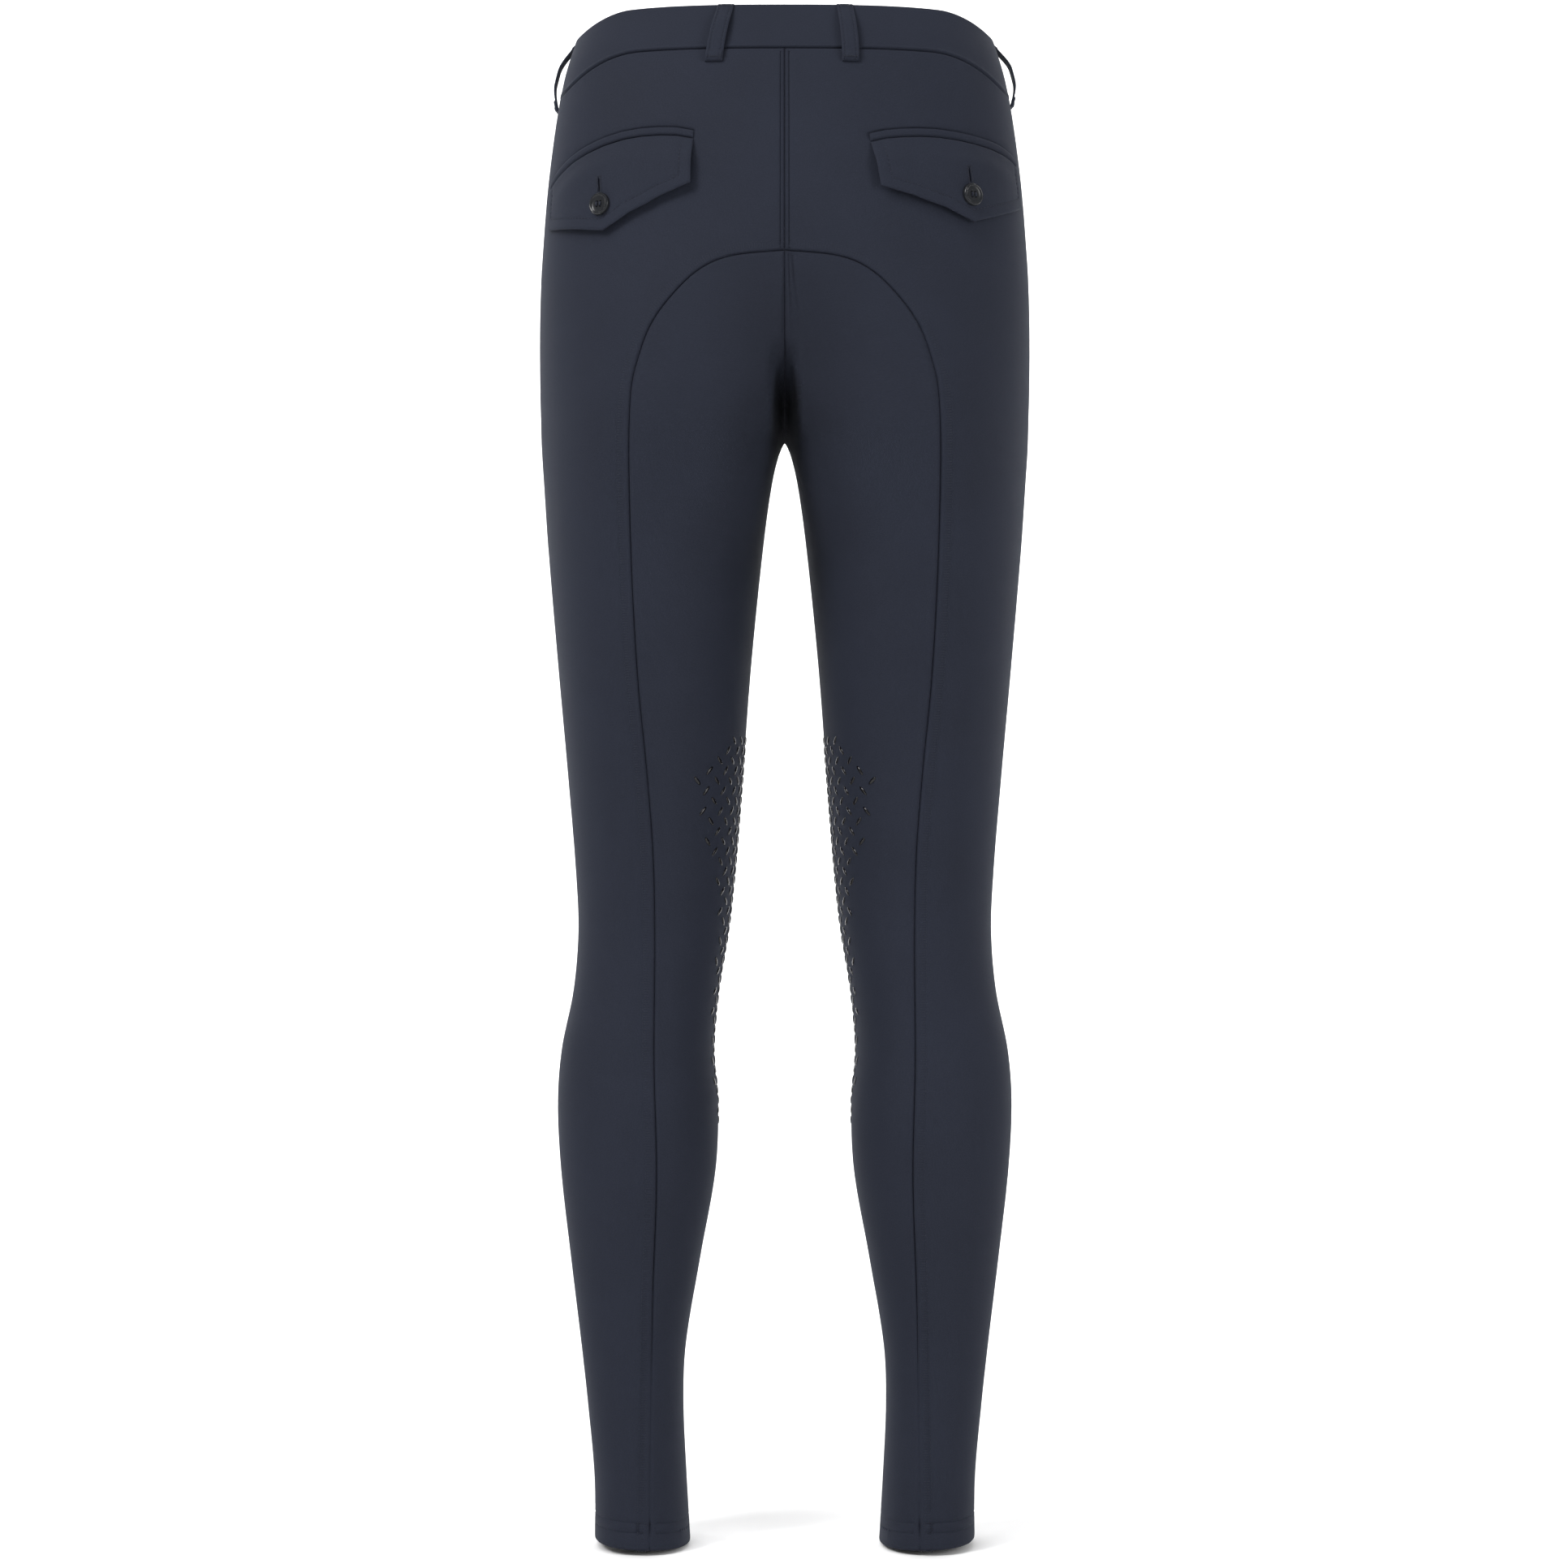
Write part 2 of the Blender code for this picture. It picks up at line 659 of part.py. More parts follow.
def button(name, centre, away, horn):
    """A four-hole button with a raised rim, its back against a piece of cloth."""
    rings = [circle(Vector((0, 0)), ring.radius * MM, 24) for ring in BUTTON_RINGS]
    hole_centres = circle(Vector((0, 0)), THREAD_HOLE_OUT, 4)
    holes = [circle(hole, THREAD_HOLE, 8) for hole in hole_centres]
    points, faces = triangulated([*rings, *holes])
    height = {}
    for ring, loop in zip(BUTTON_RINGS, rings):
        height.update((point.to_tuple(6), ring.height * MM) for point in loop)
    floor = BUTTON_RINGS[-1].height * MM
    across = away.cross(Vector((0, 0, 1))).normalized()
    up = across.cross(away)
    back = [centre + across * p.x + up * p.y for p in points]
    front = [q + away * height.get(p.to_tuple(6), floor) for p, q in zip(points, back)]
    kept = []
    for face in faces:
        middle = middle_of(points, face)
        if all((middle - hole).length > 0.9 * THREAD_HOLE for hole in hole_centres):
            kept.append(tuple(face[::-1]))
    solid(name, *walled(front, back, kept), horn)


def band_lift(angle):
    """How far the band's outer face stands off the skin: its right end steps in under the left."""
    round_it = (angle + QUARTER) * girth(SEAM_SIDE)
    near, far = LAP_STEP
    return -(BAND_CLOTH + SEAM_GAP) * (1 - eased((round_it - near) / (far - near)))


def waistband(fabric):
    """One strip round the waist, from its right end under the front lap to its left end over it."""
    steps = 4 * WAIST_STEPS
    round_it = [-QUARTER + TURN * k / steps for k in range(steps + 1)]
    lap_under, lap_over = LAP_UNDER / girth(SEAM_SIDE), LAP_OVER / girth(SEAM_SIDE)
    under = [-QUARTER - lap_under, -QUARTER - lap_under / 2]
    points = []
    for angle in [*under, *round_it, 3 * QUARTER + lap_over]:
        low, high = waist_seam(angle) + SEAM_GAP / 2, top_line(angle)
        middle, shoulder = (low + high) / 2, high - BAND_CLOTH / 3
        lift = band_lift(angle)
        outer = [(low, 0), (middle, 0), (shoulder, 0), (high, BAND_CLOTH / 3)]
        inner = [(height, BAND_CLOTH - depth) for height, depth in reversed(outer)]
        points += [
            skin(angle, height) + outward(angle, height) * (lift - depth)
            for height, depth in outer + inner
        ]
    size = 8
    last = len(points) - size
    faces = []
    for a in range(0, last, size):
        for k in range(size):
            n = (k + 1) % size
            faces.append((a + n, a + size + n, a + size + k, a + k))
    for k in range(size // 2 - 1):
        end = (k, k + 1, size - 2 - k, size - 1 - k)
        faces.append(end[::-1])
        faces.append(tuple(last + i for i in end))
    solid("waistband", points, faces, fabric)


def belt_loop(name, loop, fabric):
    """A strip over the band, sewn down at both ends and standing off between them."""
    bottom = loop.bottom_height * MM
    top_angle = angle_at(loop.top_across * MM, 0.0, loop.behind)
    bottom_angle = angle_at(loop.bottom_across * MM, bottom, loop.behind)
    top = top_line(top_angle) - 0.8 * MM
    outer, inner, faces = [], [], []
    for row in range(LOOP_ROWS + 1):
        t = row / LOOP_ROWS
        height = bottom + (top - bottom) * t
        middle = bottom_angle + (top_angle - bottom_angle) * t
        bulge = loop.bulge * MM * eased(t / 0.4) ** 0.6 * eased((1 - t) / 0.42) ** 0.8
        for column in (-1, 0, 1):
            angle = middle + column * LOOP_WIDTH / 2 / girth(height)
            away = outward(angle, height)
            inner.append(skin(angle, height) + away * (SEAM_GAP + bulge))
            outer.append(inner[-1] + away * LOOP_CLOTH)
    for first in range(0, 3 * LOOP_ROWS, 3):
        faces += [(a, a + 3, a + 4, a + 1) for a in (first, first + 1)]
    if name.endswith("left"):
        outer, inner = mirror(outer), mirror(inner)
        faces = [f[::-1] for f in faces]
    solid(f"belt_loop_{name}", *walled(outer, inner, faces), fabric)


def waist_button(horn):
    """The button that closes the lap, in the middle of the band at the front."""
    height = (top_line(-QUARTER) + waist_seam(-QUARTER)) / 2
    away = outward(-QUARTER, height)
    button("waist_button", skin(-QUARTER, height) + away * SEAM_GAP, away, horn)


def main():
    for old in list(bpy.data.objects):
        bpy.data.objects.remove(old)
    fabric = material("breeches_cloth", CLOTH_COLOUR, 0.85)
    horn = material("button_horn", BUTTON_COLOUR, 0.35)
    for side, pocket in POCKETS.items():
        back = back_panel([flap_outline(pocket), welt_outline(pocket)])
        cloth(f"back_{side}", back, fabric, 0.0, panel_thickness)
        cloth(f"front_{side}", front_panel(), fabric, 0.0, panel_thickness)
        cloth(f"seat_leg_{side}", seat_and_leg_panel(), fabric, 0.0, panel_thickness)
        pocket_pieces(side, back, fabric, horn)
    waistband(fabric)
    for name, loop in LOOPS.items():
        belt_loop(name, loop, fabric)
    waist_button(horn)


main()
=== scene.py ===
"""Riding breeches: the cloth, sewing, buttons and knee grip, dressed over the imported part.

Blender 4.5, metres, +Z up. The wearer faces +Y, so the seat is on the -Y side, and the wearer's
right leg is on the +X side. Pieces whose names say left are the right side's, mirrored.

Every piece of cloth is cut from one smooth skin. A point of the skin is named by an angle round the
leg and a height: 0 at the side seam, a quarter turn at the back, half a turn on the inside of the
leg, three quarters at the front. A panel is laid flat in pattern coordinates, filled with a fine
grid of points, and given its thickness, seams that draw in and a turned hem. The sewing and the
knee grip follow lines and points of the same skin.
"""

import math
from collections import namedtuple
from functools import lru_cache

import bpy
import numpy as np
from bpy.props import FloatProperty, FloatVectorProperty, IntProperty, PointerProperty
from bpy.types import Operator, Panel, PropertyGroup
from mathutils import Matrix, Vector
from mathutils.geometry import delaunay_2d_cdt


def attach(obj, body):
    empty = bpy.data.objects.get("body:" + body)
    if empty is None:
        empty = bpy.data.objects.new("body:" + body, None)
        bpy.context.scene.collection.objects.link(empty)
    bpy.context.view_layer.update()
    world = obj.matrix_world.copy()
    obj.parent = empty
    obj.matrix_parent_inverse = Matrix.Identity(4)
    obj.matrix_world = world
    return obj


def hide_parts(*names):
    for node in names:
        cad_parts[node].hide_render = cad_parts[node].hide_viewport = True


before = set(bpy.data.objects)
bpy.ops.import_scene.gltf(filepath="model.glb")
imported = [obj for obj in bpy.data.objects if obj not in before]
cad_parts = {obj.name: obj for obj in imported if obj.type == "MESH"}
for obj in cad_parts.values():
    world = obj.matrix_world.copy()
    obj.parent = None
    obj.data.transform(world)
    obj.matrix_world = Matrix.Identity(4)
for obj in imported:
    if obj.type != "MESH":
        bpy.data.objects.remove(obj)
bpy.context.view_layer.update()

bl_info = {
    "name": "Riding breeches",
    "version": (1, 0, 0),
    "blender": (4, 5, 0),
    "location": "3D View > Sidebar > Breeches",
    "description": "Cloth, sewing, buttons and knee grip of a pair of riding breeches",
    "category": "Object",
}

MM = 0.001
QUARTER, HALF, TURN = math.pi / 2, math.pi, 2 * math.pi

# ---- Sizes of the cut, the same as the solids have ----

CLOTH = 1.2 * MM  # stretch cloth of a panel
HEM_CLOTH = 2.2 * MM  # the same cloth where it is turned up
BAND_CLOTH = 2.4 * MM
LOOP_CLOTH = 1.3 * MM
FLAP_CLOTH = 1.8 * MM
WELT_CLOTH = 1.4 * MM
SEAM_GAP = 0.3 * MM
TOP_BACK_RISE = 10.5 * MM
TOP_BACK_SPAN = (0.24, 0.59)  # sines of the angle round the body between which it rises
TOP_FRONT_DROP = 16 * MM
SEAM_SIDE = -40.5 * MM  # height of the seam under the waistband, at the sides
SEAM_BACK_RISE = 19 * MM
SEAM_BACK_SPAN = (0.28, 0.70)
SEAM_FRONT_DROP = 14 * MM
HEM = -1010.8 * MM
HEM_BACK_RISE = 0.6 * MM
HEM_TILT = 1.5 * MM
HEM_TURN_UP = 20 * MM
HEM_STEP = 2 * MM  # how far above that the cloth is single again
CROTCH = -271 * MM
CROTCH_FULLNESS = 1.8  # how much squarer the section gets inside the leg, at the back of the crotch
FULLNESS_STARTS = (-205 * MM, -245 * MM)  # heights between which this comes in
FULLNESS_ENDS = (-360 * MM, -280 * MM)  # and heights between which it goes out again
CREASE = 34 * MM  # depth of the crease above the crotch
CREASE_DEEPENS = (-212 * MM, -257 * MM)
CREASE_FLOOR, CREASE_REACH = 3.0 * MM, 10.5 * MM  # half widths of its bottom and its mouth

Section = namedtuple(
    "Section",
    "height side outer back back_inner back_square front front_inner front_square",
)
SECTIONS = [
    Section(12, 6, 137.2, -85, -137.2, 2.7, 91, -137.2, 2.5),
    Section(-30, 4, 149.6, -108, -149.6, 2.7, 97, -149.6, 2.6),
    Section(-90, 1, 158.5, -125, -158.5, 2.7, 102, -158.5, 2.8),
    Section(-150, 0, 163.4, -134, -163.4, 2.7, 105, -163.4, 2.9),
    Section(-180, 0, 164.7, -136.5, -144, 2.65, 105, -158, 2.8),
    Section(-210, -1, 165.1, -136, -96, 2.5, 104.5, -128, 2.5),
    Section(-240, -2, 164.9, -132.5, -40, 2.3, 103, -62, 2.3),
    Section(-256, -3, 164.5, -130, -15, 2.2, 101.8, -24, 2.2),
    Section(-271, -4, 164.1, -127, 0.15, 2.15, 100.5, 0.15, 2.15),
    Section(-280, -4, 163.7, -125.2, 4.3, 2.15, 99.8, 4.3, 2.15),
    Section(-300, -6, 162.3, -121, 8.8, 2.15, 98, 8.8, 2.15),
    Section(-340, -8, 159.6, -112, 14.3, 2.15, 93.5, 14.3, 2.15),
    Section(-420, -6, 153.0, -96.5, 22.5, 2.2, 85, 22.5, 2.2),
    Section(-500, -4, 146.0, -82, 28.6, 2.2, 74, 28.6, 2.2),
    Section(-560, -3, 141.2, -71, 33.5, 2.2, 66, 33.5, 2.2),
    Section(-600, -3, 139.6, -66, 37.9, 2.2, 61, 37.9, 2.2),
    Section(-640, -6, 142.7, -66, 44.4, 2.2, 54, 44.4, 2.2),
    Section(-680, -12, 150.4, -72, 47.6, 2.2, 48, 47.6, 2.2),
    Section(-715, -16, 152.7, -76, 44.8, 2.2, 43, 44.8, 2.2),
    Section(-760, -17, 150.5, -73, 46.4, 2.2, 38, 46.4, 2.2),
    Section(-820, -15, 143.9, -63, 56.9, 2.2, 32, 56.9, 2.2),
    Section(-880, -11, 136.9, -53, 66.8, 2.2, 30, 66.8, 2.2),
    Section(-920, -8, 132.7, -49, 68.3, 2.2, 33, 68.3, 2.2),
    Section(-970, -6, 128.4, -50, 66.2, 2.2, 38, 66.2, 2.2),
    Section(-1014, -6, 128.2, -53, 63.7, 2.2, 41, 63.7, 2.2),
]

SeamPoint = namedtuple("SeamPoint", "across height")
SEAT_SEAM = [
    SeamPoint(0.15, -157.7),
    SeamPoint(35, -161.4),
    SeamPoint(56, -170.5),
    SeamPoint(74, -187.5),
    SeamPoint(87, -205.7),
    SeamPoint(95, -226.6),
    SeamPoint(99.5, -247),
    SeamPoint(100.9, -283),
    SeamPoint(100.4, -334),
    SeamPoint(98.7, -386),
    SeamPoint(95.6, -439),
    SeamPoint(90.6, -492),
    SeamPoint(86.8, -546),
    SeamPoint(85.8, -600),
    SeamPoint(86, -680),
    SeamPoint(84.4, -760),
    SeamPoint(87.4, -842),
    SeamPoint(88.9, -924),
    SeamPoint(89.6, -1014),
]
FRONT_SEAM = [
    SeamPoint(0.15, -222),
    SeamPoint(9, -244),
    SeamPoint(20, -280),
    SeamPoint(33, -340),
    SeamPoint(46, -420),
    SeamPoint(56, -500),
    SeamPoint(65, -580),
    SeamPoint(73, -650),
    SeamPoint(80, -730),
    SeamPoint(86, -820),
    SeamPoint(89, -920),
    SeamPoint(89, -1014),
]

FlatPoint = namedtuple("FlatPoint", "toward_side up")
MOUTH = [
    FlatPoint(-55.2, -6.6),
    FlatPoint(-45, -3.4),
    FlatPoint(-35, -1.7),
    FlatPoint(-24, -0.5),
    FlatPoint(-13, -0.2),
    FlatPoint(0, -1.1),
    FlatPoint(12, -2.8),
    FlatPoint(23, -4.7),
    FlatPoint(35, -7.6),
    FlatPoint(46, -10.8),
    FlatPoint(54.5, -13.6),
]
FLAP_LOWER = [
    FlatPoint(55.5, -40.7),
    FlatPoint(41, -45.1),
    FlatPoint(27, -49.2),
    FlatPoint(12.5, -53.9),
    FlatPoint(2.3, -56.9),
    FlatPoint(-5.5, -53.4),
    FlatPoint(-14, -49),
    FlatPoint(-24, -45.6),
    FlatPoint(-33, -42),
    FlatPoint(-42.5, -39.4),
    FlatPoint(-52.3, -36.7),
]
WELT_HEIGHT = 5.4
WELT_GAP = 0.3
FLAP_BUTTON = FlatPoint(2.1, -39.8)
BUTTONHOLE = (FlatPoint(1.6, -21.5), FlatPoint(2.0, -32.0))

Pocket = namedtuple("Pocket", "toward_side up turn arch")
POCKETS = {"left": Pocket(10.5, -86, -8.9, 1.8), "right": Pocket(6.3, -79.4, 0.4, -1.8)}
ARCH_MIDDLE, ARCH_REACH = -8, 47

Loop = namedtuple("Loop", "top_across bottom_across bottom_height bulge behind")
ON_SIDE_SEAM = 999
LOOPS = {
    "back_left": Loop(40.5, 46.2, -31.5, 2.6, True),
    "back_right": Loop(41.3, 42.7, -31.5, 2.6, True),
    "side_left": Loop(ON_SIDE_SEAM, ON_SIDE_SEAM, -46, 5.4, True),
    "side_right": Loop(ON_SIDE_SEAM, ON_SIDE_SEAM, -43, 6.2, True),
    "front_left": Loop(76, 77, -63.5, 1.8, False),
    "front_right": Loop(76, 77, -63.5, 1.8, False),
}
LOOP_WIDTH = 11.5 * MM

LAP_OVER = 12 * MM
LAP_UNDER = 32 * MM
LAP_STEP = (20 * MM, 45 * MM)

# ---- Finer form of the cloth ----

SEAM_INSETS = (0.3 * MM, 0.8 * MM, 1.5 * MM, 2.6 * MM)  # rows of points beside an edge
SEAM_SINK = 1.7 * MM  # how far a seam draws the cloth in
SEAM_SINK_INSIDE = 0.5  # share of that on the inner face
SEAM_FLATTER = 0.75  # the hem's pressing makes it flatter by this share
SEAM_FLATTENS = (-800 * MM, -930 * MM)
SEAM_ROUND = 2.4 * MM
SEAM_RISE = 0.15 * MM  # the cloth swells this much beside it
SEAM_RISE_OUT, SEAM_RISE_REACH = 1.6 * MM, 1.3 * MM  # middle and half width of the swelling
CENTRE_GROOVES = {  # the stitch rows beside the centre seam, over and under the seat seam's arch
    "back": {"left": (2.9 * MM,), "right": (3.0 * MM,)},
    "seat_leg": {"left": (), "right": (2.6 * MM, 5.2 * MM)},
}
FELL_RISE = 0.25 * MM  # the seam is folded to the right under them
FELL_RISES = (0.0, 1.6 * MM)
FELL_FALLS = (2.2 * MM, 3.2 * MM)
FELL_SINK = 0.85 * MM  # how far their stitches draw the fold in
FELL_RUNS_OUT = (-225 * MM, -207 * MM)
FELL_REACH = 8 * MM
FELL_EDGE_ROW, FELL_LAST_ROW = 2.4 * MM, 9.5 * MM  # rows of points, from its last line and its seam
GROOVE_ROUND = 1.3 * MM  # half width of a groove under stitches
GROOVE_ROW = 0.9 * MM  # rows of points this far from a groove's middle
ROW_STEP = 2.5 * MM  # from one point of such a row to the next
COVER_ROWS = (1.7 * MM, 7.0 * MM)  # two rows of cover stitch, outside the seat seam
HEM_LINES = (11.2 * MM, 18.0 * MM)  # two rows of hem stitches, above the edge
STITCH_SINK = 0.3 * MM
HEM_SINK = 0.6 * MM
DENT_SINK = 1.0 * MM  # the hem stitches pull the seam's edges in more
DENT_FADES = (4.5 * MM, 6.5 * MM)  # above and below the middle of the two rows
DENT_ROW = 1.2 * MM
DENT_TOP = 30 * MM  # those rows reach this far above the hem
STITCH_ROUND = 1.1 * MM
MIDDLE_REACH = 3 * MM  # how far from the body's middle the cloth turns to meet the other side
PUCKER_REACH = 9 * MM  # how far from a seam the cloth puckers
EDGE_INSETS = (0.35 * MM, 0.9 * MM, 1.8 * MM)
EDGE_ROUND = 1.1 * MM
MOUTH_ROUND = 1.8 * MM
HEM_ROUNDING, EDGE_ROUNDING, MOUTH_ROUNDING = 0.42, 0.35, 0.58  # shares of the cloth's thickness
WELT_GROOVE = 1.7 * MM  # how far the cloth is drawn in above the welt
WELT_GROOVE_WIDTH = 1.9 * MM
WELT_GROOVE_ROWS = (0.3 * MM, -0.6 * MM, -1.2 * MM, -WELT_GROOVE_WIDTH)
FLAP_GRID, WELT_GRID = 2.8 * MM, 1.6 * MM  # from one point of the cloth to the next
FLAP_STITCHES = 7.0 * MM  # from the flap's edge
FLAP_FLOAT = 3.4 * MM  # how far the flap's free edges stand off the seat
FLOAT_STARTS = (0.3, 0.65)  # angles round the body between which the flap leaves the seat
FLOAT_GROWS = (0.95, 1.15)  # and between which it stands off more
FLOAT_GROWTH = 0.3
FLOAT_RUN = 17 * MM  # from the mouth to where it floats in full
BUTTONHOLE_WIDTH = 0.9 * MM
BAND_STEP = 4 * MM
BAND_RIDGE = 0.35 * MM  # the seam allowance inside lifts the band's lower edge
BAND_CLOSES = 5 * MM  # its ends get thinner over this length, by twice this share
BAND_CLOSING = 0.3
LOOP_FOLD = 1.2 * MM  # the folded lower end of a belt loop is thicker by this much
LOOP_FOLD_ENDS = (0.16, 0.13)  # shares of the way up the loop
LOOP_TOP_GAP = 0.8 * MM
LOOP_MIDDLE_LENGTH = 50 * MM
LOOP_STITCHES = 3.7 * MM  # from the loop's middle
LOOP_STITCH_SINK, LOOP_STITCH_ROUND = 0.45 * MM, 0.9 * MM
LOOP_TACKS = (0.05, 0.95)  # shares of the way up the loop
SMALL_PUCKER, LOOP_PUCKER = 0.35, 0.3  # how puckered the flaps and welts are, and the belt loops


# ---- The skin: a point for each angle and height ----


def between(rows, column, height):
    """A column of a table that is ordered downwards, read at a height in metres by a smooth
    curve."""
    h = height / MM
    last = len(rows) - 1
    i = next((k for k in range(last) if rows[k + 1].height <= h), last - 1)
    above, below = rows[i], rows[i + 1]

    def slope(k):
        a, b = rows[max(k - 1, 0)], rows[min(k + 1, last)]
        return (getattr(b, column) - getattr(a, column)) / (b.height - a.height)

    span = below.height - above.height
    t = (h - above.height) / span
    start, end = getattr(above, column), getattr(below, column)
    return (
        start * (2 * t**3 - 3 * t**2 + 1)
        + end * (3 * t**2 - 2 * t**3)
        + span * slope(i) * (t**3 - 2 * t**2 + t)
        + span * slope(i + 1) * (t**3 - t**2)
    )


def eased(t):
    """0 to 1, with level ends."""
    t = min(max(t, 0.0), 1.0)
    return t * t * (3 - 2 * t)


def fade(value, start, stop):
    """0 up to a start, 1 from a stop on, and eased between them."""
    return eased((value - start) / (stop - start))


def swell(distance, reach):
    """1 at no distance, eased to 0 at a reach."""
    return 1 - eased(abs(distance) / reach)


def dip(distance, reach, sharpness=2):
    """1 at no distance and 0 from a reach on, steepest in the middle."""
    return max(0.0, 1 - abs(distance) / reach) ** sharpness


@lru_cache(maxsize=None)
def half_oval(height, half):
    """One half of the section at a height: centre across, half width, side, depth and
    squareness."""
    outer = between(SECTIONS, "outer", height) * MM
    inner = between(SECTIONS, half + "_inner", height) * MM
    side = between(SECTIONS, "side", height) * MM
    depth = abs(between(SECTIONS, half, height) * MM - side)
    square = between(SECTIONS, half + "_square", height)
    return (outer + inner) / 2, (outer - inner) / 2, side, depth, square


def skin(angle, height):
    """The point of the right side's outer surface at an angle round the leg and a height. The seat
    is fuller towards the crotch, with a narrow crease above it."""
    c, s = math.cos(angle), math.sin(angle)
    centre, width, side, depth, square = half_oval(height, "back" if s > 0 else "front")
    if c < 0 < s:
        square += fullness(height)
    radius = (abs(c / width) ** square + abs(s / depth) ** square) ** (-1 / square)
    across, behind = centre + radius * c, radius * s
    if behind > 0 and abs(across) < CREASE_REACH:
        drawn_in = 1 - math.exp(-crease_depth(height) / max(behind, 1 * MM))
        behind *= 1 - drawn_in * crease_share(across)
    return Vector((across, side - behind, height))


@lru_cache(maxsize=None)
def fullness(height):
    """How much squarer the section is inside the leg at the back, near the crotch."""
    return CROTCH_FULLNESS * fade(height, *FULLNESS_ENDS) * fade(height, *FULLNESS_STARTS)


@lru_cache(maxsize=None)
def crease_depth(height):
    """Depth of the crease above the crotch, at a height."""
    return CREASE * fade(height, *CREASE_DEEPENS)


def crease_share(across):
    """Share of the crease's depth at a distance from the middle of the body."""
    return 1 - fade(abs(across), CREASE_FLOOR, CREASE_REACH)


def outward(angle, height):
    """The direction out of the cloth at a point of the skin."""
    turn, rise = 0.02, 1.5 * MM
    round_it = skin(angle + turn, height) - skin(angle - turn, height)
    up = skin(angle, height + rise) - skin(angle, height - rise)
    return up.cross(round_it).normalized()


def angle_at(across, height, behind=True):
    """The angle at which the skin is this far from the middle of the body, on its back or front
    half, and 0, the side seam, for more than the body's half width."""
    near, far = 0.0, HALF
    for _ in range(40):
        middle = (near + far) / 2
        if skin(middle if behind else -middle, height).x > across:
            near = middle
        else:
            far = middle
    return near if behind else -near


@lru_cache(maxsize=None)
def girth(height):
    """Metres round the section for each radian."""
    _, width, _, back, _ = half_oval(height, "back")
    _, front_width, _, front, _ = half_oval(height, "front")
    return (width + front_width + back + front) / 4


class Pattern:
    """Flat coordinates of one panel: (metres round from its middle angle, height)."""

    def __init__(self, middle):
        """Names the panel's middle angle."""
        self.middle = middle

    def flat(self, angle, height):
        """The flat point of a point of the skin."""
        return Vector(((angle - self.middle) * girth(height), height))

    def angle(self, point):
        """The angle round the leg of a flat point."""
        return self.middle + point.x / girth(point.y)


BACK_PATTERN = Pattern(QUARTER / 2)
FRONT_PATTERN = Pattern(-QUARTER / 2)
SEAT_AND_LEG_PATTERN = Pattern(HALF)


def top_line(angle):
    """Height of the garment's top edge, at an angle round the body."""
    s = math.sin(angle)
    return TOP_BACK_RISE * fade(s, *TOP_BACK_SPAN) - TOP_FRONT_DROP * eased(-s)


def waist_seam(angle):
    """Height of the seam under the waistband, at an angle round the body."""
    s = math.sin(angle)
    return SEAM_SIDE + SEAM_BACK_RISE * fade(s, *SEAM_BACK_SPAN) - SEAM_FRONT_DROP * eased(-s)


def hem_line(angle):
    """Height of the hem's edge, at an angle round the leg."""
    back = max(0.0, math.sin(angle))
    return HEM + HEM_TILT * math.cos(angle) + HEM_BACK_RISE * back**2


# ---- Lines of a pattern ----


def curve_through(table, step):
    """Points a step apart along a smooth curve through a seam's table, in metres."""
    points = [Vector((p.across, p.height)) * MM for p in table]
    ends = [2 * points[0] - points[1], *points, 2 * points[-1] - points[-2]]
    fine = []
    for before, start, end, after in zip(ends, ends[1:], ends[2:], ends[3:]):
        for k in range(12):
            t = k / 12
            fine.append(
                0.5
                * (
                    2 * start
                    + (end - before) * t
                    + (2 * before - 5 * start + 4 * end - after) * t**2
                    + (3 * start - before - 3 * end + after) * t**3
                )
            )
    fine.append(points[-1])
    return resampled(fine, step)


def resampled(line, step):
    """A polyline's points again, a step apart."""
    out, left = [line[0]], step
    for a, b in zip(line, line[1:]):
        while (b - a).length > left:
            a = a + (b - a).normalized() * left
            out.append(a)
            left = step
        left -= (b - a).length
    if (out[-1] - line[-1]).length < 0.5 * step:
        out.pop()
    return [*out, line[-1]]


def subdivided(line, step):
    """A polyline with more points between its own, no more than a step apart."""
    out = []
    for a, b in zip(line, line[1:]):
        parts = max(1, math.ceil((b - a).length / step))
        out += [a + (b - a) * k / parts for k in range(parts)]
    return [*out, line[-1]]


def moved_aside(line, distance):
    """A polyline moved to its left by a distance, with mitred corners."""
    out = []
    for k, point in enumerate(line):
        before = point - line[k - 1] if k else line[1] - line[0]
        after = line[k + 1] - point if k + 1 < len(line) else before
        out.append(point + mitre(before, after) * distance)
    return out


def mitre(before, after):
    """Where a corner between two directions goes when its sides move left by 1."""
    first, second = before.normalized(), after.normalized()
    middle = Vector((-first.y - second.y, first.x + second.x)) / 2
    return middle / max(middle.length_squared, 0.35)


def inset(outline, distance):
    """A closed outline drawn in by a distance all round."""
    area = sum(a.x * b.y - b.x * a.y for a, b in zip(outline, outline[1:] + outline[:1]))
    into = distance if area > 0 else -distance
    following = outline[1:] + outline[:1]
    return [
        point + mitre(point - outline[k - 1], following[k] - point) * into
        for k, point in enumerate(outline)
    ]


